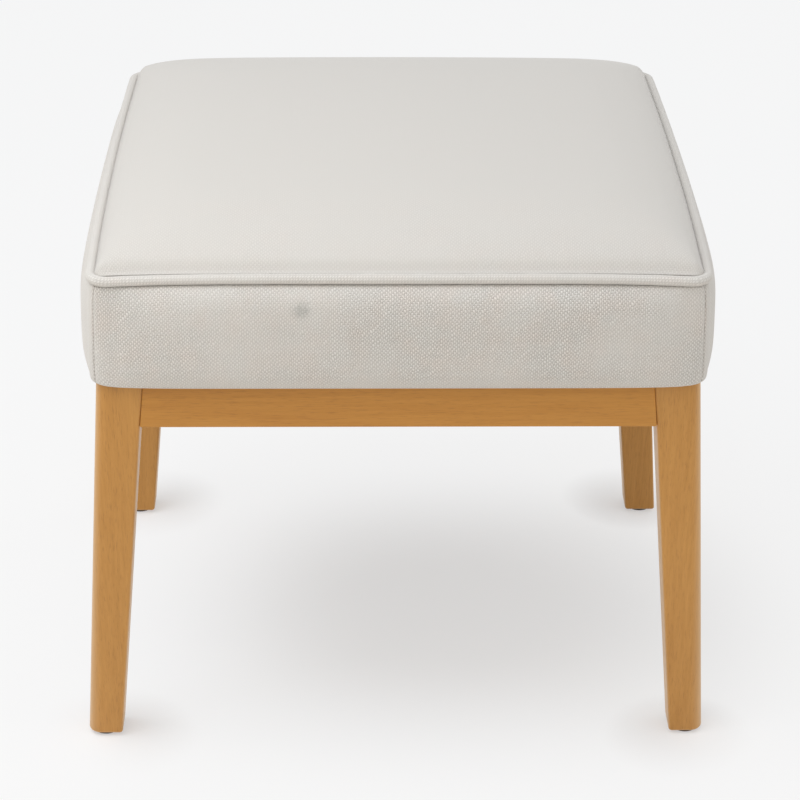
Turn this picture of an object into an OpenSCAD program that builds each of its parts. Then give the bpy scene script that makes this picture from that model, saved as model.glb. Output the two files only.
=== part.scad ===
// Upholstered footstool: a boxed and piped seat cushion on a timber frame, carried by a base of
// four tapered legs and four aprons. Millimetres, +Z up. The origin is on the floor under the
// middle of the seat, +X is to the right and -Y is the front.

/* [Seat cover] */
// Width of the seat over its piping, side to side
seat_w = 478; // [400:1:620]
// Depth of the seat over its piping, front to back
seat_d = 463; // [400:1:620]
// Height of the side panels, from the hem to the middle of the piping
side_h = 90; // [84:0.5:140]
// Rise of the crowned top above the piping
crown_h = 39.5; // [24:0.5:50]
// Share of that rise which is a gentle dome over the middle
dome_share = 0.23; // [0:0.01:0.6]
// How far the side panels swell out at mid height
swell = 12; // [3:0.5:20]
// How far the corner seams swell out at mid height
corner_swell = 2.2; // [0:0.1:3]
// How far each side bows out in plan at its middle
side_bow = 3; // [0:0.5:12]
// How far the piping dips at the four corners
corner_dip = 3.5; // [0:0.5:8]
// Corner radius of the cover in plan
corner_r = 17; // [13:0.5:30]
// Thickness of the cover fabric
fabric_t = 1.2; // [0.8:0.1:2]
// Width of the hem that is turned under the seat frame
hem_w = 24; // [15:1:25]
// Gap left for the stitched seams between the panels
seam_gap = 0.3; // [0.2:0.1:0.8]

/* [Piping] */
// Outside diameter of the covered piping
piping_d = 8; // [6:0.5:9]
// Diameter of the cord inside the piping
cord_d = 5.2; // [3:0.1:5.4]

/* [Filling] */
// Depth at which the foam lies inside the cover at its edges
foam_inset = 12.5; // [11:0.5:16]
// Thickness of the foam slab
foam_t = 54; // [44:1:60]
// Thickness of the foam crown's edge
crown_edge_t = 3; // [2:0.5:5]
// Thickness of the wadding between the foam crown and the top panel
wadding_t = 8; // [6:0.5:10]

/* [Base] */
// Height of the base, from the floor to the top of the legs
base_h = 339.5; // [250:0.5:480]
// How far the legs' tops lie inside the width of the seat, on each side
leg_side_inset = 4; // [0:0.5:8]
// How far the legs' tops lie inside the depth of the seat, at the front and back
leg_front_inset = 7; // [0:0.5:8]
// How far each leg splays outwards to the side at its foot
leg_splay = 23; // [0:0.5:35]
// How far each leg leans in towards the middle at its foot
leg_rake = 19.5; // [0:0.5:30]
// Width of a leg at its top
leg_top = 36.5; // [34:0.5:46]
// Width of a leg at its foot
leg_foot = 28.5; // [26:0.5:40]
// Radius of a leg's outer corner
leg_round = 11; // [4:0.5:12]
// Radius of a leg's other corners
leg_edge = 2.5; // [1:0.5:4]

/* [Aprons] */
// Height of an apron
apron_h = 39; // [34:0.5:60]
// Thickness of an apron
apron_t = 20; // [18:0.5:24]
// How far an apron lies behind the face of the legs
apron_inset = 2; // [0.5:0.5:4]
// Length of a corner block along each apron
block_size = 83; // [78:1:100]
// Height of a corner block
block_h = 28; // [24:1:32]

/* [Seat frame] */
// How far the seat frame lies inside the cover
rail_inset = 7; // [5:0.5:9]
// Width of a seat rail, laid flat
rail_w = 45; // [40:1:60]
// Thickness of a seat rail
rail_t = 22; // [18:0.5:26]
// Width of a webbing strap
strap_w = 50; // [30:1:60]
// Thickness of a webbing strap
strap_t = 1.5; // [1:0.1:2]
// Number of webbing straps each way
strap_count = 4; // [3:1:5]
// Length of webbing folded back over the rail
strap_fold = 25; // [15:1:30]
// Thickness of the felt over the webbing
felt_t = 2; // [1:0.5:4]
// Thickness of the dust cover
dust_t = 0.8; // [0.5:0.1:1.2]

/* [Fastenings] */
// Diameter of the dowels
dowel_d = 8; // [6:0.5:8]
// Length of the dowels between aprons and legs
apron_dowel_l = 36; // [26:1:36]
// Length of the dowels between the seat rails
rail_dowel_l = 50; // [30:1:60]
// Shank diameter of the corner block screws
block_screw_d = 4; // [3:0.5:4.5]
// Shank length of the corner block screws
block_screw_l = 28; // [22:1:30]
// Shank diameter of the seat screws
seat_screw_d = 5; // [4:0.5:6]
// Shank length of the seat screws
seat_screw_l = 46; // [40:1:50]
// Diameter of a foot glide
glide_d = 23; // [18:0.5:25]
// Thickness of a foot glide
glide_t = 2.5; // [2:0.5:5]
// Shank diameter of a glide nail
nail_d = 2.5; // [2:0.1:3]
// Length of a glide nail
nail_l = 18; // [12:1:25]

/* [Hidden] */
$fn = 48;

// Clearances: between faces that rest on each other, round soft pieces and round fasteners
rest_gap = 0.1;
soft_gap = 0.3;
bore_gap = 0.1;
// How far a cut runs past the face that it opens
overrun = 2;
// Smallest corner radius of an inset outline
least_r = 1;

// Heights of the seat's layers, from the base up
dust_z = base_h + rest_gap;
hem_z = dust_z + dust_t + rest_gap;
rail_z = hem_z + fabric_t + rest_gap;
rail_top = rail_z + rail_t;
strap_z = rail_top + rest_gap;
strap_rise = strap_t + soft_gap;
felt_z = strap_z + strap_rise + strap_t + rest_gap;
foam_z = felt_z + felt_t + rest_gap;
foam_top = foam_z + foam_t;
pad_z = foam_top + rest_gap;
piping_z = hem_z + side_h;
boxing_top = piping_z - piping_d / 2 - soft_gap;

// The rim of the top panel, just inside the piping and a little below its middle
rim_inset = piping_d + soft_gap;
rim_drop = fabric_t;
rim_z = piping_z - rim_drop;

// Insets of the boxing's upper and lower edges, and of the wadding
boxing_inset = piping_d / 2 - fabric_t / 2 - rest_gap;
hem_inset = piping_d / 5;
wadding_depth = fabric_t + soft_gap;
pad_inset = foam_inset + rest_gap;
// Height of the foam crown's dome over its edge
pad_rise = rim_z + crown_h - wadding_depth - wadding_t - pad_z - crown_edge_t;

// Stations along one side, as shares of its straight stretch, and turns round its corners in degrees
side_shares = [-1, -0.94, -0.82, -0.5, 0, 0.5, 0.82, 0.94, 1];
mid_turn = 45;
half_turn = mid_turn / 2;
quarter_turn = 90;
// How the sides fill out: bow, swell along the side, and the dip towards the corners
bow_power = 2;
swell_power = 9;
dip_power = 4;
// How the swell runs from the hem to the piping
bulge_power = 4;
bulge_share = 0.6;
// How the crown rises from its rim
crown_power = 7;
crown_share = 0.5;
dome_power = 2;
corner_power = 4;
rim_power = 16;
// Heights on the side panels, and rings of the crown, as shares
height_shares = [1, 0.93, 0.8, 0.55, 0.3, 0.14, 0.05, 0];
crown_shares = [1, 0.985, 0.95, 0.89, 0.78, 0.6, 0.32];
pad_shares = [1, 0.94, 0.82, 0.55];
// Sides of the round section of the piping and of its cord
piping_sides = 8;
// Whether the outline of a plate is straight or takes the bow of the cover
straight = 0;
bowed = 1;

// Width and depth over the legs at their tops
legs_w = seat_w - 2 * leg_side_inset;
legs_d = seat_d - 2 * leg_front_inset;
// Height of a leg's foot, and the small bevel at its ends
foot_z = glide_t;
leg_arris = leg_edge / 2;
// Places of the aprons
apron_z = base_h - apron_h;
apron_y = legs_d / 2 - apron_inset - apron_t;
apron_x = legs_w / 2 - apron_inset - apron_t;
apron_dowel_zs = [apron_z + apron_h / 4, apron_z + apron_h * 3 / 4];
dowel_slack = 1;
// Corner blocks: clearance round the leg, and places of the screws
block_clear = 1;
block_z = base_h - block_h;
head_share = 2;
seat_screw_x = apron_x - head_share * seat_screw_d / 2 - 1.5 * block_clear;
seat_screw_y = apron_y - block_size / 2 - seat_screw_d / 2;
block_screw_from = block_size * 0.76;
block_screw_grip = block_screw_l - apron_t * 0.75;
head_h_share = 0.6;
point_share = 1.2;

// Seat frame
frame_w = seat_w / 2 - rail_inset;
frame_d = seat_d / 2 - rail_inset;
frame_r = max(corner_r - rail_inset, least_r);
opening_w = frame_w - rail_w;
opening_d = frame_d - rail_w;
strap_end_margin = rail_w / 6;
strap_edge = strap_w / 2 + strap_t;

wood = "#C08A4E";
cloth = "#D5D1CA";

function sign_of(v) = v < 0 ? -1 : 1;
function turned(p, side) =
    side == 0 ? p : side == 1 ? [-p.y, p.x, p.z] : side == 2 ? [-p.x, -p.y, p.z] : [p.y, -p.x, p.z];
function half_along(side) = (side % 2 == 0 ? seat_w : seat_d) / 2;
function half_out(side) = (side % 2 == 0 ? seat_d : seat_w) / 2;
function along(share, turn, reach, r) = share * (reach - r) + sign_of(turn) * r * sin(abs(turn));

// A point of the cover on one side: share along the side, turn round its corner, inset from the
// outline, and how much of the bow, the swell and the dip it takes
function cover_point(side, st, inset, z, bow_part, swell_part, dip_part) =
    let (r = max(corner_r - inset, least_r), x = along(st[0], st[1], half_along(side) - inset, r))
    let (push = side_bow * bow_part * (1 - pow(abs(st[0]), bow_power))
        + (swell - corner_swell) * swell_part * (1 - pow(abs(st[0]), swell_power)))
    let (y = -(half_out(side) - inset - r) - r * cos(st[1]) - push)
    turned([x, y, z - corner_dip * dip_part * pow(abs(st[0]), dip_power)], side);

// A point of a side panel at a share of its height; depth is measured in from the fabric's face
function bulge(h) = pow(max(0, 1 - pow(abs(2 * h - 1), bulge_power)), bulge_share);
function panel_point(side, st, h, depth) =
    cover_point(side, st, hem_inset + (boxing_inset - hem_inset) * h - corner_swell * bulge(h) + depth,
        hem_z + h * (boxing_top - hem_z) + depth * pow(1 - h, bulge_power), h, bulge(h), h);

// A point of the top panel on the ring at a share of its size
function shoulder(share) = pow(1 - pow(share, crown_power), crown_share);
function dome(share) = 1 - pow(share, dome_power);
function crown_rise(share, across) = share >= 1 ? 0 :
    let (ends = pow(shoulder(share), -corner_power) + pow(shoulder(share * across), -corner_power) - 1)
    (1 - dome_share) * pow(ends, -1 / corner_power) + dome_share * dome(share) * dome(share * across);
function crown_point(side, st, share, depth, inset, z, rise, dip_part) =
    let (edge = cover_point(side, st, inset + depth, z - depth, 1, 0, 0), reach = half_along(side))
    let (across = abs(along(st[0], st[1], reach, corner_r)) / reach)
    let (dip = corner_dip * dip_part * pow(share, rim_power) * pow(across, dip_power))
    [edge.x * share, edge.y * share, edge.z - dip + rise * crown_rise(share, across)];

// All stations round the cover, and those of one panel between two corner seams
loop_stations = [
    for (side = [0:3])
    for (st = concat([[-1, -mid_turn], [-1, -half_turn]], [for (s = side_shares) [s, 0]], [[1, half_turn]]))
    [side, st]
];
seam_turn = seam_gap / 2 / corner_r * 180 / PI;
panel_stations = concat([[-1, seam_turn - mid_turn], [-1, -half_turn]], [for (s = side_shares) [s, 0]],
    [[1, half_turn], [1, mid_turn - seam_turn]]);

// Triangles between the rings of a grid of points, which closes on itself round each ring if asked
function face_out(a, b, c, flip) = flip ? [a, b, c] : [c, b, a];
function band(rings, n, closed, flip = false, start = 0) = [
    for (i = [0:rings - 2])
    for (j = [0:n - (closed ? 1 : 2)])
    let (a = start + i * n + j, b = start + i * n + (j + 1) % n)
    for (tri = [[a, b, b + n], [a, b + n, a + n]]) face_out(tri[0], tri[1], tri[2], flip)
];
// Triangles across the edge between an outer and an inner line of points
function edge_band(outer, inner, closed, flip = false) = [
    for (j = [0:len(outer) - (closed ? 1 : 2)])
    let (k = (j + 1) % len(outer))
    for (tri = [[outer[k], outer[j], inner[j]], [outer[k], inner[j], inner[k]]])
    face_out(tri[0], tri[1], tri[2], flip)
];
function flatten(lists) = [for (list = lists) for (item = list) item];
function span(from, n, step = 1) = [for (k = [0:n - 1]) from + k * step];
function mean_point(points) = [for (k = [0:2]) [for (p = points) p[k]] * [for (p = points) 1] / len(points)];

// A solid through closed rings, with both ends closed to a point
module ring_solid(rings, first_tip, last_tip) {
    n = len(rings[0]);
    count = len(rings) * n;
    polyhedron(points = concat(flatten(rings), [first_tip, last_tip]), faces = concat(
        band(len(rings), n, true),
        [for (j = [0:n - 1]) face_out(count, (j + 1) % n, j, false)],
        [for (j = [0:n - 1]) face_out(count + 1, count - n + j, count - n + (j + 1) % n, false)]));
}

// A hollow tube through closed outer rings and as many inner rings, open at both ends
module hollow_tube(outer, inner) {
    n = len(outer[0]);
    count = len(outer) * n;
    polyhedron(points = concat(flatten(outer), flatten(inner)), faces = concat(
        band(len(outer), n, true), band(len(outer), n, true, true, count),
        edge_band(span(0, n), span(count, n), true),
        edge_band(span(count - n, n), span(2 * count - n, n), true, true)));
}

// A sheet with thickness, from two grids of points: its two faces
module sheet_solid(outer, inner) {
    rows = len(outer);
    n = len(outer[0]);
    count = rows * n;
    rim = concat(span(0, n), span(2 * n - 1, rows - 1, n), span(count - 2, n - 1, -1),
        span(count - 2 * n, rows - 2, -n));
    polyhedron(points = concat(flatten(outer), flatten(inner)), faces = concat(
        band(rows, n, false), band(rows, n, false, true, count),
        edge_band(rim, [for (k = rim) k + count], true)));
}

// Outline of a plate that follows the cover at an inset, with or without the bow of its sides
function plate_outline(inset, bow_part) = [
    for (s = loop_stations) let (p = cover_point(s[0], s[1], inset, 0, bow_part, 0, 0)) [p.x, p.y]
];
module plate(inset, bow_part, z, t) {
    translate([0, 0, z]) linear_extrude(t) polygon(plate_outline(inset, bow_part));
}

// Seat cover

module cover_top() {
    color(cloth) crown_shell(0, fabric_t);
}
module crown_shell(depth, t) {
    outer = crown_rings(depth);
    inner = crown_rings(depth + t);
    n = len(outer[0]);
    count = len(outer) * n;
    tips = [[0, 0, rim_z - depth + crown_h], [0, 0, rim_z - depth - t + crown_h]];
    polyhedron(points = concat(flatten(outer), flatten(inner), tips), faces = concat(
        band(len(outer), n, true), band(len(outer), n, true, true, count),
        [for (j = [0:n - 1]) face_out(2 * count, count - n + j, count - n + (j + 1) % n, false)],
        [for (j = [0:n - 1]) face_out(2 * count + 1, 2 * count - n + j, 2 * count - n + (j + 1) % n, true)],
        edge_band(span(0, n), span(count, n), true)));
}
function crown_rings(depth) = [
    for (share = crown_shares)
    [for (s = loop_stations) crown_point(s[0], s[1], share, depth, rim_inset, rim_z, crown_h, 1)]
];

// A side panel with its hem turned under the frame
module boxing(side) {
    color(cloth) sheet_solid(boxing_grid(side, fabric_t), boxing_grid(side, 0));
}
function boxing_grid(side, depth) = [
    for (st = panel_stations) concat([cover_point(side, st, hem_w, hem_z + depth, 0, 0, 0)],
        [for (k = [len(height_shares) - 1:-1:0]) panel_point(side, st, height_shares[k], depth)])
];

// The piping: a tube of fabric sewn round a cord, which starts and ends in the middle of the back
back_middle = len(loop_stations) / 2 + 2 + (len(side_shares) - 1) / 2;
joint_share = seam_gap / seat_w;
piping_stations = concat([[2, [joint_share, 0]]],
    [for (k = [1:len(loop_stations) - 1]) loop_stations[(back_middle + k) % len(loop_stations)]],
    [[2, [-joint_share, 0]]]);
function piping_middle(s) = cover_point(s[0], s[1], piping_d / 2, piping_z, 1, 0, 1);
function tube_rings(d, sides) = [
    for (s = piping_stations)
    let (out = turned([sin(s[1][1]), -cos(s[1][1]), 0], s[0]))
    [for (k = [0:sides - 1]) let (a = -360 * k / sides)
        piping_middle(s) + d / 2 * (cos(a) * out + [0, 0, sin(a)])]
];
module piping_casing() {
    color(cloth) hollow_tube(tube_rings(piping_d, piping_sides), tube_rings(cord_d + soft_gap, piping_sides));
}
module piping_cord() {
    color("ivory") ring_solid(tube_rings(cord_d, piping_sides), piping_middle(piping_stations[0]),
        piping_middle(piping_stations[len(piping_stations) - 1]));
}

// Filling

module foam_slab() {
    color("khaki") plate(foam_inset, bowed, foam_z, foam_t);
}

// The domed pad that gives the seat its crown; grow widens it for the hollow of the wadding
module foam_crown(grow = 0) {
    bottom = pad_z - grow;
    side = crown_edge_t + 2 * grow;
    rings = concat([pad_ring(1, bottom, 0, grow)],
        [for (share = pad_shares) pad_ring(share, bottom + side, pad_rise, grow)]);
    color("khaki") ring_solid(rings, [0, 0, bottom], [0, 0, bottom + side + pad_rise]);
}
function pad_ring(share, z, rise, grow) = [
    for (s = loop_stations) crown_point(s[0], s[1], share, 0, pad_inset - grow, z, rise, 0)
];

// Wadding from the hem, over the foam and up to the top panel
module wadding_wrap() {
    sides = [for (k = [len(height_shares) - 1:-1:0])
        [for (s = loop_stations) panel_point(s[0], s[1], height_shares[k], wadding_depth)]];
    rings = concat(sides, crown_rings(wadding_depth));
    color("white") difference() {
        ring_solid(rings, mean_point(rings[0]), [0, 0, rim_z - wadding_depth + crown_h]);
        plate(rail_inset - soft_gap, straight, hem_z, felt_z + felt_t + soft_gap - hem_z);
        plate(foam_inset - soft_gap, bowed, felt_z, pad_z + crown_edge_t - felt_z);
        foam_crown(soft_gap);
    }
}

// Seat frame

module rail_shape() {
    intersection() {
        plate(rail_inset, straight, rail_z, rail_t);
        children();
    }
}
module long_rail(front) {
    flip = front ? -1 : 1;
    color("burlywood") difference() {
        rail_shape() translate([-seat_w / 2, flip < 0 ? -frame_d : opening_d, rail_z])
            cube([seat_w, rail_w, rail_t]);
        for (p = rail_dowel_places) translate([p[0] * p[2], flip * opening_d, p[1]])
            rotate([-flip * quarter_turn, 0, 0]) dowel_hole(rail_dowel_l);
        seat_screw_holes();
    }
}
module side_rail(side) {
    color("burlywood") difference() {
        translate([side > 0 ? opening_w : -frame_w, -opening_d + rest_gap, rail_z])
            cube([rail_w, 2 * (opening_d - rest_gap), rail_t]);
        for (end = [-1, 1], p = rail_dowel_places) if (p[2] == side)
            translate([p[0] * side, end * (opening_d - rest_gap), p[1]])
                rotate([end * quarter_turn, 0, 0]) dowel_hole(rail_dowel_l);
        seat_screw_holes();
    }
}
rail_dowel_places = [
    for (side = [-1, 1]) for (k = [-1, 1]) [frame_w - rail_w / 2 + k * rail_w / 4, rail_z + rail_t / 2, side]
];
module dowel_hole(length) {
    translate([0, 0, -overrun]) cylinder(h = length / 2 + dowel_slack + overrun, d = dowel_d + 2 * bore_gap);
}
module dowel(length) {
    chamfer = dowel_d / 8;
    color("wheat") rotate_extrude() polygon([[0, -length / 2], [dowel_d / 2 - chamfer, -length / 2],
        [dowel_d / 2, chamfer - length / 2], [dowel_d / 2, length / 2 - chamfer],
        [dowel_d / 2 - chamfer, length / 2], [0, length / 2]]);
}
module rail_dowels() {
    for (end = [-1, 1], p = rail_dowel_places)
        translate([p[0] * p[2], end * opening_d, p[1]]) rotate([quarter_turn, 0, 0]) dowel(rail_dowel_l);
}

// Webbing: each strap passes over and under those that cross it, and its ends are folded back
function strap_profile(reach, inner, pitch, first) = concat(
    [[-reach, 0], [-inner, 0]],
    [for (j = [0:strap_count - 1]) for (k = [-1, 1])
        [pitch * (j - (strap_count - 1) / 2) + k * strap_edge, (j + first) % 2 == 0 ? strap_rise : 0]],
    [[inner, 0], [reach, 0]]);
module strap(reach, inner, pitch, first) {
    low = strap_profile(reach, inner, pitch, first);
    high = [for (k = [len(low) - 2:-1:1]) low[k] + [0, strap_t]];
    fold_top = strap_rise + strap_t;
    right_end = [[reach, fold_top], [reach - strap_fold, fold_top], [reach - strap_fold, strap_rise],
        [reach - strap_t, strap_rise], [reach - strap_t, strap_t]];
    left_end = [for (k = [len(right_end) - 1:-1:0]) [-right_end[k].x, right_end[k].y]];
    rotate([quarter_turn, 0, 0]) translate([0, 0, -strap_w / 2]) linear_extrude(strap_w)
        polygon(concat(low, right_end, high, left_end));
}
module straps(length, across, opening, opening_across) {
    pitch = 2 * opening_across / strap_count;
    cross_pitch = 2 * opening / strap_count;
    for (k = [0:strap_count - 1]) translate([0, pitch * (k - (strap_count - 1) / 2), strap_z])
        strap(length - strap_end_margin, opening, cross_pitch, k + across);
}
module webbing_crosswise() {
    color("tan") straps(frame_w, 0, opening_w, opening_d);
}
module webbing_lengthwise() {
    color("tan") rotate([0, 0, quarter_turn]) mirror([0, 1, 0]) straps(frame_d, 1, opening_d, opening_w);
}
module webbing_felt() {
    color("dimgray") plate(rail_inset, straight, felt_z, felt_t);
}
module dust_cover() {
    color("#2B2B2D") difference() {
        plate(2 * rail_inset, straight, dust_z, dust_t);
        seat_screw_holes();
    }
}

// Base

// A leg's place at a height: [middle to outer face along X, along Y, width]
function leg_at(z) =
    let (low = (base_h - z) / (base_h - foot_z))
    [legs_w / 2 + leg_splay * low, legs_d / 2 - leg_rake * low, leg_top + (leg_foot - leg_top) * low];
function corner_arc(x, y, r, from, steps) = [
    for (k = [0:steps]) let (a = from + quarter_turn * k / steps) [x + r * cos(a), y + r * sin(a)]
];
function leg_ring(z, trim) =
    let (at = leg_at(z), x1 = at.x - trim, y1 = at.y - trim, x0 = at.x - at.z + trim, y0 = at.y - at.z + trim)
    [for (p = concat(
        corner_arc(x1 - leg_round, y1 - leg_round, leg_round, 0, 7),
        corner_arc(x0 + leg_edge, y1 - leg_edge, leg_edge, quarter_turn, 3),
        corner_arc(x0 + leg_edge, y0 + leg_edge, leg_edge, 2 * quarter_turn, 3),
        corner_arc(x1 - leg_edge, y0 + leg_edge, leg_edge, 3 * quarter_turn, 3))) [p.x, p.y, z]];
module leg(x_side, y_side) {
    rings = [leg_ring(foot_z, leg_edge), leg_ring(foot_z + leg_arris, leg_arris / 2),
        leg_ring(foot_z + leg_edge, 0), leg_ring(base_h - leg_arris, 0), leg_ring(base_h, leg_arris)];
    color(wood) corner(x_side, y_side) difference() {
        ring_solid(rings, mean_point(rings[0]), mean_point(rings[len(rings) - 1]));
        for (p = leg_dowel_places) translate(p[0]) rotate(p[1]) dowel_hole(apron_dowel_l);
        translate([nail_place.x, nail_place.y, foot_z - overrun])
            cylinder(h = nail_l + overrun + dowel_slack, d = nail_d + 2 * bore_gap);
    }
}
module corner(x_side, y_side) {
    mirror([x_side < 0 ? 1 : 0, 0, 0]) mirror([0, y_side < 0 ? 1 : 0, 0]) children();
}
// Inner faces of a leg at a height, where the aprons end
function inner_x(z) = leg_at(z).x - leg_at(z).z;
function inner_y(z) = leg_at(z).y - leg_at(z).z;
// Dowels into one leg: from the front or back apron along X and from the side apron along Y, the
// second pair between the first so that they clear each other inside the leg
side_dowel_shift = dowel_d * 0.75;
leg_dowel_places = concat(
    [for (z = apron_dowel_zs)
        [[inner_x(z), apron_y + apron_t / 2, z - side_dowel_shift / 2], [0, quarter_turn, 0]]],
    [for (z = apron_dowel_zs)
        [[apron_x + apron_t / 2, inner_y(z), z + side_dowel_shift / 2], [-quarter_turn, 0, 0]]]);
nail_place = [leg_at(foot_z).x - leg_foot / 2, leg_at(foot_z).y - leg_foot / 2, 0];

// An apron, cut at its ends to the slope of the legs
module apron_board(low, high) {
    translate([0, apron_t, 0]) rotate([quarter_turn, 0, 0]) linear_extrude(apron_t)
        polygon([[-low, apron_z], [low, apron_z], [high, base_h], [-high, base_h]]);
}
module long_apron(y_side) {
    color(wood) mirror([0, y_side < 0 ? 1 : 0, 0]) difference() {
        translate([0, apron_y, 0]) apron_board(inner_x(apron_z) - rest_gap, inner_x(base_h) - rest_gap);
        for (x_side = [-1, 1]) corner(x_side, 1) apron_holes(0);
    }
}
module side_apron(x_side) {
    color(wood) mirror([x_side < 0 ? 1 : 0, 0, 0]) difference() {
        translate([apron_x + apron_t, 0, 0]) rotate([0, 0, quarter_turn])
            apron_board(inner_y(apron_z) - rest_gap, inner_y(base_h) - rest_gap);
        for (y_side = [-1, 1]) corner(1, y_side) apron_holes(1);
    }
}
// Holes in an apron's end for its dowels and for the screw of the corner block
module apron_holes(which) {
    for (k = [0, 1]) let (p = leg_dowel_places[2 * which + k])
        translate(p[0]) rotate(-p[1]) dowel_hole(apron_dowel_l);
    block_screw_place(which) cylinder(h = block_screw_l + bore_gap, d = block_screw_d + 2 * bore_gap);
}
module apron_dowels() {
    for (x_side = [-1, 1], y_side = [-1, 1]) corner(x_side, y_side)
        for (p = leg_dowel_places) translate(p[0]) rotate(p[1]) dowel(apron_dowel_l);
}

// A glued and screwed block in each corner, which also carries the screw up into the seat frame
module corner_block(x_side, y_side) {
    x1 = apron_x - rest_gap;
    y1 = apron_y - rest_gap;
    x0 = inner_x(base_h) - block_clear;
    y0 = inner_y(apron_z) - block_clear;
    color("burlywood") corner(x_side, y_side) difference() {
        translate([0, 0, block_z]) linear_extrude(block_h)
            polygon([[x1 - block_size, y1], [x1 - block_size, y1 - block_clear],
                [x1 - block_clear, y1 - block_size], [x1, y1 - block_size], [x1, y0], [x0, y0], [x0, y1]]);
        for (which = [0, 1]) block_screw_place(which) screw_hole(block_screw_d, block_screw_l, block_size);
        seat_screw_place() screw_hole(seat_screw_d, seat_screw_l, overrun);
    }
}
// Carries a screw, drawn with its head at the origin and its point along +Z, to its place
module block_screw_place(which) {
    z = block_z + block_h / 2;
    if (which == 0) translate([apron_x - block_screw_from, apron_y - block_screw_grip, z])
        rotate([-quarter_turn, 0, 0]) children();
    if (which == 1) translate([apron_x - block_screw_grip, apron_y - block_screw_from, z])
        rotate([0, quarter_turn, 0]) children();
}
module seat_screw_place() {
    translate([seat_screw_x, seat_screw_y, block_z]) children();
}
module seat_screw_holes() {
    for (x_side = [-1, 1], y_side = [-1, 1]) corner(x_side, y_side) seat_screw_place()
        cylinder(h = seat_screw_l + bore_gap, d = seat_screw_d + 2 * bore_gap);
}
// A clearance hole and a flat seat for the head
module screw_hole(d, length, back) {
    cylinder(h = length, d = d + 2 * bore_gap);
    translate([0, 0, -back]) cylinder(h = back, d = head_share * d + 2 * soft_gap);
}
module screw(d, length) {
    head_r = head_share * d / 2;
    head_h = head_h_share * d;
    point = point_share * d;
    color("silver") rotate_extrude() polygon(concat([[0, -head_h]],
        [for (a = [60, 30, 0]) [head_r * cos(a), -head_h * sin(a)]],
        [[d / 2, 0], [d / 2, length - point], [0, length]]));
}
module block_screws() {
    for (x_side = [-1, 1], y_side = [-1, 1], which = [0, 1])
        corner(x_side, y_side) block_screw_place(which) screw(block_screw_d, block_screw_l);
}
module seat_screws() {
    for (x_side = [-1, 1], y_side = [-1, 1])
        corner(x_side, y_side) seat_screw_place() screw(seat_screw_d, seat_screw_l);
}

// A plastic glide under each leg, with a recess for the head of its nail
module glide(x_side, y_side) {
    edge = glide_t / 3;
    recess = head_share * nail_d / 2 + bore_gap;
    color("#3A3532") corner(x_side, y_side) translate(nail_place) rotate_extrude() polygon([
        [recess, 0], [glide_d / 2 - edge, 0], [glide_d / 2, edge], [glide_d / 2, glide_t - rest_gap],
        [nail_d / 2 + bore_gap, glide_t - rest_gap], [nail_d / 2 + bore_gap, glide_t / 2],
        [recess, glide_t / 2]]);
}
module glide_nails() {
    head = glide_t / 4;
    point = nail_d;
    head_z = glide_t / 2 - rest_gap;
    top = glide_t + nail_l;
    color("silver") for (x_side = [-1, 1], y_side = [-1, 1]) corner(x_side, y_side) translate(nail_place)
        rotate_extrude() polygon([[0, head_z - head], [head_share * nail_d / 2, head_z - head],
            [head_share * nail_d / 2, head_z], [nail_d / 2, head_z], [nail_d / 2, top - point], [0, top]]);
}

leg(-1, -1);  // leg_front_left
leg(1, -1);  // leg_front_right
leg(-1, 1);  // leg_back_left
leg(1, 1);  // leg_back_right
long_apron(-1);  // apron_front
long_apron(1);  // apron_back
side_apron(-1);  // apron_left
side_apron(1);  // apron_right
apron_dowels();
corner_block(-1, -1);  // corner_block_front_left
corner_block(1, -1);  // corner_block_front_right
corner_block(-1, 1);  // corner_block_back_left
corner_block(1, 1);  // corner_block_back_right
block_screws();
seat_screws();
glide(-1, -1);  // glide_front_left
glide(1, -1);  // glide_front_right
glide(-1, 1);  // glide_back_left
glide(1, 1);  // glide_back_right
glide_nails();
long_rail(true);  // seat_rail_front
long_rail(false);  // seat_rail_back
side_rail(-1);  // seat_rail_left
side_rail(1);  // seat_rail_right
rail_dowels();
webbing_lengthwise();
webbing_crosswise();
webbing_felt();
foam_slab();
foam_crown();
wadding_wrap();
cover_top();
boxing(0);  // boxing_front
boxing(1);  // boxing_right
boxing(2);  // boxing_back
boxing(3);  // boxing_left
piping_casing();
piping_cord();
dust_cover();
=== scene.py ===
"""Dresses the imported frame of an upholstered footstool.

It makes the cover, the filling, the timber and the fastenings, then the studio and the camera.
"""
import logging
import math
from collections.abc import Callable, Sequence
from dataclasses import dataclass, field, replace
from enum import Enum

import bmesh
import bpy
from mathutils import Euler, Matrix, Vector


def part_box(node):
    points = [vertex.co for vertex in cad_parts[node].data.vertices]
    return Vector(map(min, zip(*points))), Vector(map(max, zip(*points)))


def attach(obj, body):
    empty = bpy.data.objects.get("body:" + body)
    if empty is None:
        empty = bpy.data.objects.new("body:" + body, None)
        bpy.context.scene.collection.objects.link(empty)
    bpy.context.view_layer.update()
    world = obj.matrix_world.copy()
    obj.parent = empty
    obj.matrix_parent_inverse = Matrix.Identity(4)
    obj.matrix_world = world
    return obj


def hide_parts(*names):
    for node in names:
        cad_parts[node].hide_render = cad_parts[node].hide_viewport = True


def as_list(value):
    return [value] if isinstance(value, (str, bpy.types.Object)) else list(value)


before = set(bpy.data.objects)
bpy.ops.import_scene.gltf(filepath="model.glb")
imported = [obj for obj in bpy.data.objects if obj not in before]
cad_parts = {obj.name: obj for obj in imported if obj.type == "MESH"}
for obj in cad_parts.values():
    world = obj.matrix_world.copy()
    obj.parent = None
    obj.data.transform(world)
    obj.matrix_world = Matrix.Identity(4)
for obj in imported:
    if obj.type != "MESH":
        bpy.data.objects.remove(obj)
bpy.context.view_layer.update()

LOG = logging.getLogger("footstool")
BODY = "root"
MM = 0.001
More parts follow.
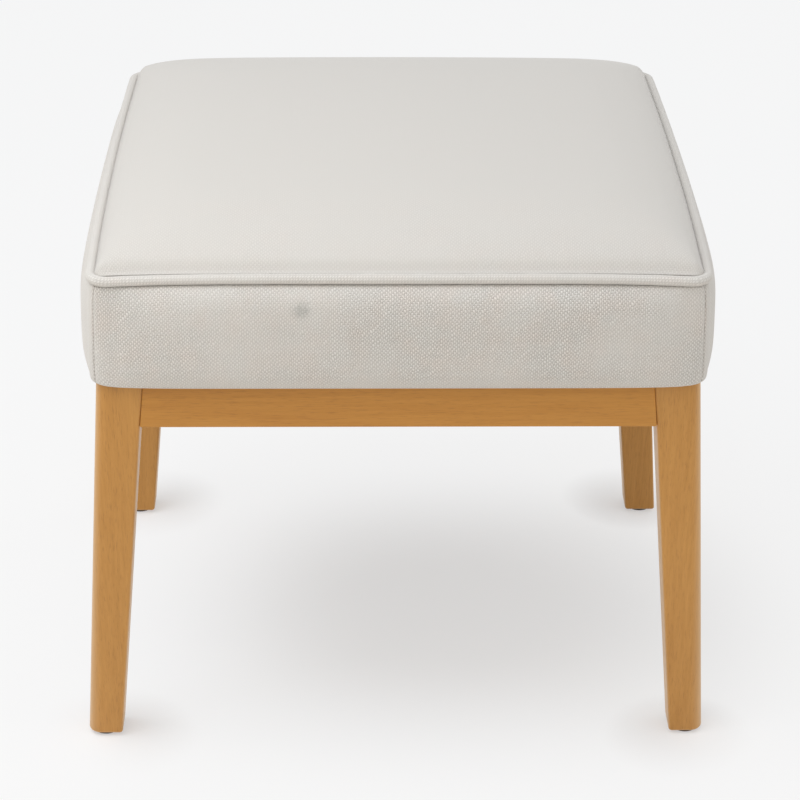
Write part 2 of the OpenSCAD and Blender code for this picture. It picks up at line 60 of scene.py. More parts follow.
Colour = tuple[float, float, float]
Grid = list[list[Vector]]
Piece = bpy.types.Object
Material = bpy.types.Material
Socket = bpy.types.NodeSocket


def srgb(red: float, green: float, blue: float) -> Colour:
    """Returns the linear colour of an 8-bit screen colour."""
    return tuple((c / 255 / 12.92) if c < 11 else ((c / 255 + 0.055) / 1.055) ** 2.4
                 for c in (red, green, blue))


# Modelling helpers


def start_clean() -> None:
    """Leaves edit mode and deselects every object."""
    if bpy.context.object and bpy.context.object.mode != "OBJECT":
        bpy.ops.object.mode_set(mode="OBJECT")
    bpy.ops.object.select_all(action="DESELECT")


def pick(piece: Piece) -> None:
    """Makes a piece the only selected and the active one.

    Args:
        piece: the piece.
    """
    start_clean()
    piece.select_set(True)
    bpy.context.view_layer.objects.active = piece


def new_piece(name: str) -> Piece:
    """Names the primitive that was just added, and its mesh.

    Args:
        name: the piece's name.

    Returns:
        The active object.
    """
    piece = bpy.context.object
    piece.name = name
    piece.data.name = name
    return piece


def settle_place(piece: Piece) -> None:
    """Moves a piece's place, turn and scale into its mesh."""
    pick(piece)
    bpy.ops.object.transform_apply(location=True, rotation=True, scale=True)


def new_block(name: str, middle: Sequence[float], size: Sequence[float]) -> Piece:
    """Adds a block at its place and size, as a start to shape.

    Args:
        name: the piece's name.
        middle: the block's middle.
        size: its length each way.

    Returns:
        The block.
    """
    start_clean()
    bpy.ops.mesh.primitive_cube_add(size=1, location=middle, scale=size)
    piece = new_piece(name)
    settle_place(piece)
    return piece


def finish_with(piece: Piece, kind: str, **settings: object) -> None:
    """Adds a modifier with these settings and applies it.

    Args:
        piece: the piece.
        kind: the modifier's type, such as BEVEL.
        settings: values of the modifier's properties.
    """
    pick(piece)
    modifier = piece.modifiers.new(kind.title(), kind)
    for key, value in settings.items():
        setattr(modifier, key, value)
    bpy.ops.object.modifier_apply(modifier=modifier.name)


def turn_out(piece: Piece) -> None:
    """Merges doubles and turns all faces of a closed piece outwards.

    Args:
        piece: the piece.
    """
    pick(piece)
    bpy.ops.object.mode_set(mode="EDIT")
    bpy.ops.mesh.select_all(action="SELECT")
    bpy.ops.mesh.remove_doubles(threshold=1e-6)
    bpy.ops.mesh.normals_make_consistent(inside=False)
    bpy.ops.object.mode_set(mode="OBJECT")


def smooth(piece: Piece, degrees: float | None = None) -> None:
    """Shades a piece smooth, or only across edges flatter than an angle.

    Args:
        piece: the piece.
        degrees: the angle past which an edge stays sharp, or None for no such angle.
    """
    pick(piece)
    if degrees is None:
        bpy.ops.object.shade_smooth()
    else:
        bpy.ops.object.shade_smooth_by_angle(angle=math.radians(degrees))


def select_in_mesh(piece: Piece, mode: str, test: Callable[[object], bool]) -> None:
    """Enters edit mode and selects the vertices, edges or faces that pass a test.

    Args:
        piece: the piece, which becomes the active one.
        mode: VERT, EDGE or FACE.
        test: is given each element in turn.
    """
    pick(piece)
    bpy.ops.object.mode_set(mode="EDIT")
    bpy.ops.mesh.select_all(action="DESELECT")
    bpy.ops.mesh.select_mode(type=mode)
    mesh = bmesh.from_edit_mesh(piece.data)
    elements = {"VERT": mesh.verts, "EDGE": mesh.edges, "FACE": mesh.faces}[mode]
    for element in elements:
        if test(element):
            element.select_set(True)
    mesh.select_flush_mode()
    bmesh.update_edit_mesh(piece.data)


def round_edges(piece: Piece, test: Callable[[object], bool], radius: float, segments: int) -> None:
    """Rounds the edges of a piece that pass a test.

    Args:
        piece: the piece.
        test: is given each edge in turn.
        radius: the width of the rounding from the edge.
        segments: faces across the rounding.
    """
    select_in_mesh(piece, "EDGE", test)
    bpy.ops.mesh.bevel(offset=radius, segments=segments, affect="EDGES", offset_type="OFFSET")
    bpy.ops.object.mode_set(mode="OBJECT")


def copy_of(piece: Piece) -> Piece:
    """Copies a piece, with its own mesh.

    Args:
        piece: the piece to copy.

    Returns:
        The copy.
    """
    copy = piece.copy()
    copy.data = piece.data.copy()
    bpy.context.collection.objects.link(copy)
    return copy


def mirrored(piece: Piece, name: str, flip_x: bool, flip_y: bool) -> Piece:
    """Copies a piece to another corner of the stool.

    Args:
        piece: the piece to copy.
        name: the copy's name.
        flip_x: whether left and right change places.
        flip_y: whether front and back change places.

    Returns:
        The copy.
    """
    copy = copy_of(piece)
    copy.name = copy.data.name = name
    copy.scale = (-1 if flip_x else 1, -1 if flip_y else 1, 1)
    settle_place(copy)
    turn_out(copy)
    return copy


def join(pieces: Sequence[Piece], name: str) -> Piece:
    """Joins pieces that are alike into one object.

    Args:
        pieces: the pieces.
        name: the name of what they become.

    Returns:
        The joined piece.
    """
    pick(pieces[0])
    for piece in pieces:
        piece.select_set(True)
    bpy.ops.object.join()
    return new_piece(name)


def grid_faces(rows: int, count: int, steps: int) -> list[tuple[int, int, int, int]]:
    """Finds the faces between rows of points.

    Args:
        rows: how many rows there are.
        count: points in a row.
        steps: faces along a row, as many as points where each row closes on itself.

    Returns:
        The four point numbers of each face.
    """
    faces = []
    for row in range(rows - 1):
        near, far = row * count, (row + 1) * count
        for here in range(steps):
            after = (here + 1) % count
            faces.append((near + here, near + after, far + after, far + here))
    return faces


def piece_of(name: str, points: Sequence[Vector], faces: Sequence[Sequence[int]]) -> Piece:
    """Makes a piece from points and faces.

    Args:
        name: the piece's name.
        points: the points.
        faces: the point numbers of each face.

    Returns:
        The piece.
    """
    mesh = bpy.data.meshes.new(name)
    mesh.from_pydata(points, [], faces)
    piece = bpy.data.objects.new(name, mesh)
    bpy.context.collection.objects.link(piece)
    return piece


def from_grid(name: str, rows: Grid, marks: Sequence[Sequence[tuple[float, float]]],
              closed: bool = False) -> Piece:
    """Makes a sheet of cloth from a grid of points.

    Args:
        name: the piece's name.
        rows: rows of points, all of one length.
        marks: the flat place of each point on the cloth, in metres.
        closed: whether each row closes on itself.

    Returns:
        The sheet, with the flat places as its UV map.
    """
    count = len(rows[0])
    steps = count if closed else count - 1
    piece = piece_of(name, [point for row in rows for point in row], grid_faces(len(rows), count, steps))
    mesh = piece.data
    layer = mesh.uv_layers.new(name="cloth")
    flat = [mark for row in marks for mark in row]
    wrap = [row[-1][0] + (row[-1][0] - row[-2][0]) for row in marks]
    for polygon in mesh.polygons:
        i, j = divmod(polygon.index, steps)
        for corner, loop in enumerate(polygon.loop_indices):
            u, v = flat[mesh.loops[loop].vertex_index]
            if closed and j == count - 1 and corner in (1, 2):
                u = wrap[i + (corner == 2)]
            layer.data[loop].uv = (u, v)
    return piece


def thicken(piece: Piece, thickness: float, offset: float = -1) -> None:
    """Gives a sheet its thickness, inwards from its outer face."""
    finish_with(piece, "SOLIDIFY", thickness=thickness, offset=offset, use_even_offset=False)


def length_of(points: Sequence[Vector]) -> float:
    """Returns the length of a line through points."""
    return sum((b - a).length for a, b in zip(points, points[1:]))


def running_lengths(points: Sequence[Vector]) -> list[float]:
    """Measures along a line.

    Args:
        points: the line's points.

    Returns:
        The distance of each point from the line's middle point, along the line.
    """
    steps = [0.0]
    for before, point in zip(points, points[1:]):
        steps.append(steps[-1] + (point - before).length)
    return [step - steps[len(points) // 2] for step in steps]


def declare_cloth(rows: Grid, rests_on: Sequence[str]) -> None:
    """Measures a sheet of cloth's flat width, length and area from its grid of points; nothing is done with
    them or with what it lies on.

    Args:
        rows: its points.
        rests_on: what it lies on.
    """
    lines = 8
    width = max(length_of(row) for row in rows[:: max(1, len(rows) // lines)])
    length = max(length_of(column) for column in list(zip(*rows))[:: max(1, len(rows[0]) // lines)])
    area = sum(((b - a).cross(c - a).length + (c - d).cross(b - d).length) / 2
               for first, second in zip(rows, rows[1:])
               for a, b, c, d in zip(first, first[1:], second, second[1:]))
    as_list(rests_on)


def from_rings(name: str, rings: Grid, first_tip: Vector, last_tip: Vector) -> Piece:
    """Makes a closed body through rings of points, with a tip at both ends.

    Args:
        name: the piece's name.
        rings: closed rings, all of one length.
        first_tip: the point before the first ring.
        last_tip: the point after the last ring.

    Returns:
        The body.
    """
    count, last = len(rings[0]), (len(rings) - 1) * len(rings[0])
    points = [point for ring in rings for point in ring] + [first_tip, last_tip]
    faces = grid_faces(len(rings), count, count)
    faces += [((j + 1) % count, j, len(points) - 2) for j in range(count)]
    faces += [(last + j, last + (j + 1) % count, len(points) - 1) for j in range(count)]
    piece = piece_of(name, points, faces)
    turn_out(piece)
    return piece


def place_on_stool(piece: Piece, material: Material, slot: str, *nodes: str) -> None:
    """Dresses a piece, fastens it to the stool and hides the solids that it stands for.

    Args:
        piece: the piece.
        material: its material.
        slot: a name for its finish; it is not used.
        nodes: the solids that it replaces.
    """
    piece.data.materials.clear()
    piece.data.materials.append(material)
    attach(piece, BODY)
    if nodes:
        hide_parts(*nodes)
    LOG.info("%s: %d faces", piece.name, len(piece.data.polygons))


def dress_solid(node: str, material: Material) -> None:
    """Gives a solid of the frame its material.

    Args:
        node: the solid.
        material: its material.
    """
    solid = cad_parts[node]
    if not solid.material_slots:
        solid.data.materials.append(None)
    for slot in solid.material_slots:
        slot.material = material


# Shader helpers


class Graph:
    """Adds nodes to a node tree and joins them."""

    def __init__(self, tree: bpy.types.NodeTree) -> None:
        """Takes the tree to work on."""
        self.tree = tree

    def feed(self, socket: Socket, value: object) -> None:
        """Joins a socket to another one, or sets its value.

        Args:
            socket: the input.
            value: the output that feeds it, a plain value, or None to leave it as it is.
        """
        if isinstance(value, Socket):
            self.tree.links.new(value, socket)
        elif value is not None:
            socket.default_value = value

    def set_inputs(self, node: bpy.types.Node, **values: object) -> None:
        """Feeds a node's inputs, named with underscores for spaces."""
        for key, value in values.items():
            self.feed(node.inputs[key.replace("_", " ")], value)

    def add(self, kind: str, *values: object, **settings: object) -> bpy.types.Node:
        """Adds a node.

        Args:
            kind: the node's type.
            values: what its inputs take, in order.
            settings: values of the node's properties.

        Returns:
            The node.
        """
        node = self.tree.nodes.new(kind)
        for key, value in settings.items():
            setattr(node, key, value)
        for index, value in enumerate(values):
            self.feed(node.inputs[index], value)
        return node

    def math(self, operation: str, *values: object) -> Socket:
        """Returns the result of a Math node."""
        return self.add("ShaderNodeMath", *values, operation=operation).outputs[0]

    def vector_math(self, operation: str, *values: object) -> Socket:
        """Returns the vector that a Vector Math node gives."""
        return self.add("ShaderNodeVectorMath", *values, operation=operation).outputs[0]

    def measure(self, operation: str, *values: object) -> Socket:
        """Returns the length or distance that a Vector Math node gives."""
        return self.add("ShaderNodeVectorMath", *values, operation=operation).outputs["Value"]

    def scaled(self, vector: Socket, factors: Colour) -> Socket:
        """Returns a vector stretched by three factors."""
        return self.vector_math("MULTIPLY", vector, factors)

    def noise(self, vector: Socket, scale: float, detail: float = 2, rough: float = 0.5) -> Socket:
        """Makes a noise.

        Args:
            vector: where it is read.
            scale: how fine it is.
            detail: how many finer layers it has.
            rough: how much each of them counts.

        Returns:
            The noise's value between 0 and 1.
        """
        node = self.add("ShaderNodeTexNoise")
        self.set_inputs(node, Vector=vector, Scale=scale, Detail=detail, Roughness=rough)
        return node.outputs[0]

    def span(self, value: Socket, low: float, high: float, start: float = 0, end: float = 1,
             **settings: object) -> Socket:
        """Returns a value's stretch from low to high spread over start to end, held at both ends."""
        return self.add("ShaderNodeMapRange", value, low, high, start, end, **settings).outputs[0]

    def blend(self, factor: object, first: object, second: object, mode: str = "MIX") -> Socket:
        """Mixes two colours.

        Args:
            factor: the second colour's share.
            first: the first colour.
            second: the second colour.
            mode: the way of mixing.

        Returns:
            The mix.
        """
        node = self.add("ShaderNodeMix", data_type="RGBA", blend_type=mode)
        for index, value in ((0, factor), (6, first), (7, second)):
            if isinstance(value, tuple):
                value = (*value, 1)
            self.feed(node.inputs[index], value)
        return node.outputs[2]


class EffectGroup:
    """A shader node group with named inputs and outputs, built once and placed in several materials."""

    def __init__(self, name: str, inputs: dict[str, str], outputs: Sequence[str]) -> None:
        """Makes the empty group.

        Args:
            name: the group's name.
            inputs: each input's name and kind, Vector or Float.
            outputs: the names of its values.
        """
        self.tree = bpy.data.node_groups.new(name, "ShaderNodeTree")
        for key, kind in inputs.items():
            self.tree.interface.new_socket(key, in_out="INPUT", socket_type="NodeSocket" + kind)
        for key in outputs:
            self.tree.interface.new_socket(key, in_out="OUTPUT", socket_type="NodeSocketFloat")
        self.graph = Graph(self.tree)
        self.taken = self.graph.add("NodeGroupInput").outputs
        self.result = self.graph.add("NodeGroupOutput")

    def give(self, **values: object) -> None:
        """Sets what the group puts out."""
        self.graph.set_inputs(self.result, **values)

    def put_in(self, graph: Graph, **values: object) -> bpy.types.NodeOutputs:
        """Places the group in a material.

        Args:
            graph: the material's graph.
            values: what its inputs take.

        Returns:
            What the group gives there.
        """
        node = graph.add("ShaderNodeGroup", node_tree=self.tree)
        graph.set_inputs(node, **values)
        return node.outputs


def weave_effect() -> EffectGroup:
    """Builds the effect of a plain weave: crossing threads with slubs, and a tone for each thread.

    Returns:
        The group, which takes places and a pitch in metres.
    """
    group = EffectGroup("plain_weave", {"Place": "Vector", "Pitch": "Float", "Slub": "Float"},
                        ("Height", "Over", "Tone", "Slubs"))
    g, place, pitch = group.graph, group.taken["Place"], group.taken["Pitch"]
    wander_threads, slub_scale, slub_stretch = 1.6, 110, 9
    split = g.add("ShaderNodeSeparateXYZ", place)
    wander = g.math("MULTIPLY", g.math("SUBTRACT", g.noise(place, 160, 1), 0.5), wander_threads)
    x = g.math("ADD", g.math("DIVIDE", split.outputs[0], pitch), wander)
    y = g.math("SUBTRACT", g.math("DIVIDE", split.outputs[1], pitch), wander)
    wave_x = g.math("SINE", g.math("MULTIPLY", x, math.pi))
    wave_y = g.math("SINE", g.math("MULTIPLY", y, math.pi))
    warp_rise = g.math("MULTIPLY_ADD", g.math("MULTIPLY", g.math("SIGN", wave_x), wave_y), 0.5, 0.5)
    weft_rise = g.math("MULTIPLY_ADD", g.math("MULTIPLY", g.math("SIGN", wave_y), wave_x), -0.5, 0.5)
    warp = g.math("MULTIPLY", g.math("ABSOLUTE", wave_x), warp_rise)
    weft = g.math("MULTIPLY", g.math("ABSOLUTE", wave_y), weft_rise)
    over = g.math("GREATER_THAN", warp, weft)
    warp_tone, weft_tone = (
        g.add("ShaderNodeTexWhiteNoise", None, thread, noise_dimensions="1D").outputs[0]
        for thread in (g.math("FLOOR", x), g.math("ADD", g.math("FLOOR", y), 0.37)))
    tone = g.add("ShaderNodeMix", over, None, weft_tone, warp_tone)
    along = g.noise(g.scaled(place, (1, slub_stretch, 1)), slub_scale)
    across = g.noise(g.scaled(place, (slub_stretch, 1, 1)), slub_scale)
    slubs = g.math("MULTIPLY", g.math("SUBTRACT", g.math("MAXIMUM", along, across), 0.5), group.taken["Slub"])
    group.give(Height=g.math("MAXIMUM", warp, weft), Over=over, Tone=tone.outputs[0], Slubs=slubs)
    return group


def timber_effect() -> EffectGroup:
    """Builds the effect of planed beech with its grain along Z: broad figure, fine streaks and short flecks.

    Returns:
        The group, which takes places in metres.
    """
    group = EffectGroup("planed_beech", {"Place": "Vector"}, ("Figure", "Streak", "Fleck", "Height"))
    g, place = group.graph, group.taken["Place"]
    bend_width = 0.012
    bend = g.math("MULTIPLY", g.math("SUBTRACT", g.noise(g.scaled(place, (3, 3, 1)), 3, 1), 0.5), bend_width)
    bent = g.vector_math("ADD", place, g.add("ShaderNodeCombineXYZ", bend, bend, 0).outputs[0])
    figure = g.noise(g.scaled(bent, (1, 1, 0.07)), scale=55, detail=3, rough=0.55)
    streak = g.noise(g.scaled(bent, (1, 1, 0.03)), scale=420, detail=3, rough=0.6)
    fleck = g.noise(g.scaled(bent, (1, 1, 0.08)), scale=1300)
    pores = g.noise(g.scaled(bent, (1, 1, 0.05)), scale=2400, detail=1)
    marks = g.math("MULTIPLY", g.span(fleck, 0.54, 0.72), g.span(figure, 0.25, 0.6, 0.35, 1))
    height = g.math("MULTIPLY_ADD", pores, 0.4, g.math("MULTIPLY", marks, -0.6))
    group.give(Figure=g.span(figure, 0.3, 0.7), Streak=g.span(streak, 0.28, 0.72), Fleck=marks, Height=height)
    return group


def mottle_effect() -> EffectGroup:
    """Builds the effect of a soft uneven surface: broad clouds and a fine tooth.

    Returns:
        The group, which takes places and the scales of both.
    """
    group = EffectGroup("soft_mottle", {"Place": "Vector", "Cloud": "Float", "Tooth": "Float"},
                        ("Clouds", "Teeth"))
    g, place = group.graph, group.taken["Place"]
    clouds = g.noise(place, group.taken["Cloud"], detail=3, rough=0.55)
    group.give(Clouds=g.span(clouds, 0.3, 0.7), Teeth=g.noise(place, group.taken["Tooth"], rough=0.6))
    return group


class Effects:
    """The shared shader effects."""

    def __init__(self) -> None:
        """Builds each group once."""
        self.weave = weave_effect()
        self.timber = timber_effect()
        self.mottle = mottle_effect()


def blank_material(name: str) -> tuple[Material, Graph, bpy.types.Node]:
    """Makes a material with a Principled shader.

    Args:
        name: the material's name.

    Returns:
        The material, its graph and its shader node.
    """
    material = bpy.data.materials.new(name)
    material.use_nodes = True
    graph = Graph(material.node_tree)
    return material, graph, material.node_tree.nodes["Principled BSDF"]


def bump(graph: Graph, height: Socket, depth: float, strength: object) -> Socket:
    """Makes the relief of a surface.

    Args:
        graph: the material's graph.
        height: the relief's height, from 0 to about 1.
        depth: its depth in metres.
        strength: how much of it shows.

    Returns:
        The normal that shows the relief.
    """
    node = graph.add("ShaderNodeBump")
    graph.set_inputs(node, Strength=strength, Distance=depth, Height=height)
    return node.outputs[0]


# Finishes


@dataclass(frozen=True)
class WovenFinish:
    """A woven cloth.

    It has the tones of its threads, their pitch, the weave's depth, its slubs, the turn of its threads,
    and the share of the relief that shows where the cloth is drawn tight.
    """

    name: str
    light: Colour
    dark: Colour
    pitch: float
    depth: float
    slub: float = 0.35
    turn: float = 0.0
    sheen: float = 0.3
    tint: float = 0.9
    tint_colour: Colour = (1.03, 0.985, 0.965)
    relief: float = 1.0
    slant_relief: float = 0.25
    middle_tone: float = 0.535
    mark: tuple[float, float, float] | None = None
    mark_radius: float = 0.0125
    mark_wander: float = 0.006
    mark_share: float = 0.9
    mark_colour: Colour = srgb(118, 122, 116)

    def material(self, effects: Effects) -> Material:
        """Makes the cloth's material, laid on the piece's own UV map in metres.

        Args:
            effects: the shared effects.

        Returns:
            The material.
        """
        material, g, shader = blank_material(self.name)
        flat = g.add("ShaderNodeUVMap", uv_map="cloth").outputs[0]
        turned = g.add("ShaderNodeMapping", flat)
        g.set_inputs(turned, Rotation=(0, 0, self.turn))
        weave = effects.weave.put_in(g, Place=turned.outputs[0], Pitch=self.pitch, Slub=self.slub)
        mottle = effects.mottle.put_in(g, Place=flat, Cloud=14.0, Tooth=3000.0)
        slant = g.add("ShaderNodeLayerWeight", 0.5).outputs["Facing"]
        faced = g.span(slant, low=0.2, high=0.6, start=self.relief, end=self.slant_relief * self.relief)
        patchy = g.span(g.noise(flat, scale=11, detail=1), low=0.38, high=0.62, start=0.58)
        open_weave = g.math("MULTIPLY", faced, patchy)
        tone_share, height_share, over_share, cloud_share = 0.10, 0.42, 0.48, 0.08
        thread = g.math("MULTIPLY", weave["Height"], height_share)
        thread = g.math("MULTIPLY_ADD", weave["Tone"], tone_share, thread)
        thread = g.math("MULTIPLY_ADD", weave["Over"], over_share, thread)
        thread = g.math("ADD", thread, weave["Slubs"])
        cloudy = g.math("MULTIPLY", g.math("SUBTRACT", mottle["Clouds"], 0.5), cloud_share)
        thread = g.math("SUBTRACT", g.math("ADD", thread, cloudy), self.middle_tone)
        colour = g.blend(g.math("MULTIPLY_ADD", thread, open_weave, self.middle_tone), self.dark, self.light)
        tinted = g.span(g.noise(flat, scale=38, rough=0.6), low=0.4, high=0.68, end=self.tint)
        colour = g.blend(g.math("MULTIPLY", tinted, open_weave), colour, self.tint_colour, "MULTIPLY")
        if self.mark:
            colour = self.soiled(g, colour)
        lift = g.math("MULTIPLY_ADD", mottle["Teeth"], 0.3, g.math("ADD", weave["Height"], weave["Slubs"]))
        g.set_inputs(shader, Base_Color=colour, Roughness=g.span(mottle["Teeth"], 0, 1, 0.86, 0.98),
                     Specular_IOR_Level=0.25, Sheen_Weight=self.sheen, Sheen_Roughness=0.4,
                     Normal=bump(g, lift, self.depth, open_weave))
        return material

    def soiled(self, g: Graph, colour: Socket) -> Socket:
        """Lays a faint rubbed mark on the cloth at one place.

        Args:
            g: the material's graph.
            colour: the clean cloth's colour.

        Returns:
            The colour with the mark.
        """
        place = g.add("ShaderNodeTexCoord").outputs["Object"]
        away = g.measure("DISTANCE", place, self.mark)
        wander = g.math("SUBTRACT", g.noise(place, scale=260, detail=3, rough=0.6), 0.5)
        uneven = g.math("MULTIPLY_ADD", wander, self.mark_wander, away)
        rubbed = g.math("POWER", g.span(uneven, 0, self.mark_radius, start=1, end=0), 2.0)
        return g.blend(g.math("MULTIPLY", rubbed, self.mark_share), colour, self.mark_colour)


class Grain(Enum):
    """The way that a board's grain runs, as the turn that brings it to Z."""

    UPRIGHT = (0.0, 0.0, 0.0)
    ALONG_X = (0.0, math.pi / 2, 0.0)
    ALONG_Y = (math.pi / 2, 0.0, 0.0)


@dataclass(frozen=True)
class TimberFinish:
    """Planed timber: its ground, its darker figure and its flecks, with or without a lacquer, and a painted
    highlight that lightens its edges where they turn from view.
    """

    name: str
    ground: Colour
    figure: Colour
    fleck: Colour
    grain: Grain = Grain.UPRIGHT
    rough: float = 0.42
    coat: float = 0.0
    # How strongly edges seen at a slant are painted towards a pale highlight tone, and that tone.
    painted_edge_highlight: float = 0.0
    painted_highlight_colour: Colour = srgb(240, 208, 160)
    pore_depth: float = 0.08 * MM

    def material(self, effects: Effects) -> Material:
        """Makes the timber's material, with its grain along the board.

        Args:
            effects: the shared effects.

        Returns:
            The material.
        """
        material, g, shader = blank_material(f"{self.name}_{self.grain.name.lower()}")
        turned = g.add("ShaderNodeMapping", g.add("ShaderNodeTexCoord").outputs["Object"])
        g.set_inputs(turned, Rotation=self.grain.value)
        timber = effects.timber.put_in(g, Place=turned.outputs[0])
        amount = g.math("MULTIPLY_ADD", timber["Streak"], 0.55, g.math("MULTIPLY", timber["Figure"], 0.45))
        colour = g.blend(amount, self.ground, self.figure)
        colour = g.blend(g.math("MULTIPLY", timber["Fleck"], 0.45), colour, self.fleck)
        # Painted highlight: where the surface turns from view the colour is blended towards a pale tone,
        # standing in for the lamps' reflection on the legs' rounded corners.
        slant = g.add("ShaderNodeLayerWeight", 0.5).outputs["Facing"]
        colour = g.blend(g.span(slant, 0.25, 0.85, 0, self.painted_edge_highlight), colour, self.painted_highlight_colour)
        rough = g.span(timber["Streak"], 0, 1, self.rough - 0.05, self.rough + 0.08)
        g.set_inputs(shader, Base_Color=colour, Roughness=rough, Coat_Weight=self.coat, Coat_Roughness=0.3,
                     Normal=bump(g, timber["Height"], self.pore_depth, 0.6))
        return material


@dataclass(frozen=True)
class PlainFinish:
    """A surface without a weave or grain: two tones, and the size and depth of its tooth."""

    name: str
    light: Colour
    dark: Colour
    rough: float
    cloud: float
    tooth: float
    depth: float
    metal: float = 0.0

    def material(self, effects: Effects) -> Material:
        """Makes the surface's material.

        Args:
            effects: the shared effects.

        Returns:
            The material.
        """
        material, g, shader = blank_material(self.name)
        place = g.add("ShaderNodeTexCoord").outputs["Object"]
        mottle = effects.mottle.put_in(g, Place=place, Cloud=self.cloud, Tooth=self.tooth)
        amount = g.math("MULTIPLY_ADD", mottle["Teeth"], 0.5, g.math("MULTIPLY", mottle["Clouds"], 0.5))
        rough = g.span(mottle["Clouds"], 0, 1, self.rough - 0.06, min(1, self.rough + 0.06))
        g.set_inputs(shader, Base_Color=g.blend(amount, self.dark, self.light), Roughness=rough,
                     Metallic=self.metal, Normal=bump(g, mottle["Teeth"], self.depth, 0.8))
        return material


# Soft goods


class Side(Enum):
    """The sides of the seat, each a quarter turn further round than the last."""

    FRONT = 0
    RIGHT = 1
    BACK = 2
    LEFT = 3


def round_to(side: Side, point: Vector) -> Vector:
    """Turns a point of the front side to its place on another side."""
    x, y, z = point
    return Vector(((x, y, z), (-y, x, z), (-x, -y, z), (y, -x, z))[side.value])


@dataclass(frozen=True)
class SeatForm:
    """The outline that the cover, piping and filling share, in metres.

    Its heights are those of the frame's solids. Pairs hold a value for the front and back and one for the
    left and right.
    """

    hem_z: float
    piping_z: float
    width: float = 0.478
    depth: float = 0.463
    corner_radius: float = 0.017
    side_bow: float = 0.003
    swell: float = 0.0125
    corner_swell: float = 0.0022
    swell_power: float = 9.0
    front_dip: float = 0.0035
    back_dip: float = 0.0
    hem_inset: float = 0.0007
    shoulder: float = 0.0308
    shoulder_power: float = 10.0
    front_power: float = 7.0
    front_toe: float = 0.0045
    dome: float = 0.0052
    piping_radius: float = 0.004
    piping_play: float = 0.0003
    fabric: float = 0.0012
    seam_gap: float = 0.0003
    rim_inset: tuple[float, float] = (0.0048, 0.0072)
    rim_lift: tuple[float, float] = (0.0039, 0.0021)
    rim_change: float = 0.012

    @classmethod
    def from_frame(cls) -> "SeatForm":
        """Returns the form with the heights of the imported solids."""
        piping_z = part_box("piping_casing")[1].z - cls.piping_radius
        return cls(hem_z=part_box("boxing_front")[0].z, piping_z=piping_z)

    @property
    def boxing_top(self) -> float:
        """Height of the side panels' upper edge."""
        return self.piping_z - self.piping_radius - self.piping_play

    @property
    def rim_z(self) -> float:
        """Middle height of the top panel's rim."""
        return self.piping_z + sum(self.rim_lift) / 2

    def reach(self, side: Side) -> float:
        """Returns half a side's length."""
        return (self.width if side.value % 2 == 0 else self.depth) / 2

    def out(self, side: Side) -> float:
        """Returns a side's distance from the middle."""
        return (self.depth if side.value % 2 == 0 else self.width) / 2

    def half_run(self, side: Side) -> float:
        """Returns the length from the middle of a side to its corner seam."""
        return self.reach(side) - self.corner_radius + self.corner_radius * math.pi / 4

    def station(self, side: Side, run: float) -> tuple[float, float]:
        """Finds a place along a side.

        Args:
            side: the side.
            run: distance from the middle of the side, along its outline.

        Returns:
            The share of the straight stretch, and the turn round the corner.
        """
        straight = self.reach(side) - self.corner_radius
        if abs(run) <= straight:
            return run / straight, 0.0
        turn = min((abs(run) - straight) / self.corner_radius, math.pi / 4)
        return math.copysign(1, run), math.copysign(turn, run)

    def dip(self, side: Side, share: float) -> float:
        """Finds how far the seat's outline dips, which is less at the back.

        Args:
            side: the side.
            share: the place from -1 to 1 along it.

        Returns:
            The dip.
        """
        behind = (side is Side.BACK or (side is Side.RIGHT and share > 0)
                  or (side is Side.LEFT and share < 0))
        return (self.back_dip if behind else self.front_dip) * share ** 4

    def rim(self, side: Side, run: float) -> Vector:
        """Finds a point of the top panel's rim: over the piping at the front and back, inside at the sides.

        Args:
            side: the side.
            run: distance from the middle of the side, along its outline.

        Returns:
            The point, without the dip of the corners.
        """
        share = 0.5 * math.exp(-(((self.half_run(side) - abs(run)) / self.rim_change) ** 2))
        kind = side.value % 2
        inset, lift = (pair[kind] * (1 - share) + pair[1 - kind] * share
                       for pair in (self.rim_inset, self.rim_lift))
        return self.point(side, run, inset, self.piping_z + lift, 1, 0, 0)

    def point(self, side: Side, run: float, inset: float, z: float, bow: float = 1, swell: float = 0,
              dip: float = 1) -> Vector:
        """Finds a point of the seat on one side.

        Args:
            side: the side.
            run: distance from the middle of the side, along its outline.
            inset: distance inside the outline.
            z: height of the point before the corners dip.
            bow: how much of the side's bow it takes.
            swell: how much of the side's swell it takes.
            dip: how much of the corners' dip it takes.

        Returns:
            The point.
        """
        share, turn = self.station(side, run)
        inset -= self.corner_swell * swell
        radius = max(self.corner_radius - inset, MM)
        x = share * (self.reach(side) - inset - radius) + math.copysign(radius * math.sin(abs(turn)), turn)
        push = self.side_bow * bow * (1 - share ** 2)
        push += (self.swell - self.corner_swell) * swell * (1 - abs(share) ** self.swell_power)
        y = -(self.out(side) - inset - radius) - radius * math.cos(turn) - push
        return round_to(side, Vector((x, y, z - dip * self.dip(side, share))))

    @staticmethod
    def bulge(height: float) -> float:
        """Returns how much of the swell a share of the panel's height takes, a little more low down."""
        return max(0.0, 1 - abs(2 * max(0.0, height) ** 0.85 - 1) ** 4) ** 0.6

    def rise(self, u: float, v: float) -> float:
        """Finds the crown's height over its rim; at the front the crown leaves the piping flat.

        Args:
            u: place from -1 at the left to 1 at the right.
            v: place from -1 at the front to 1 at the back.

        Returns:
            The height.
        """
        front_power = self.front_power if v < 0 else self.shoulder_power
        toe = 1 - math.exp(-(((1 + v) * self.depth / 2 / self.front_toe) ** 2))
        across = max(1e-4, 1 - abs(u) ** self.shoulder_power)
        along = max(1e-4, (1 - abs(v) ** front_power) * toe)
        full = (across ** -2 + along ** -2 - 1) ** -0.5
        return self.shoulder * full + self.dome * ((1 - u * u) * (1 - v * v)) ** 2 - self.rim_dip(u, v)

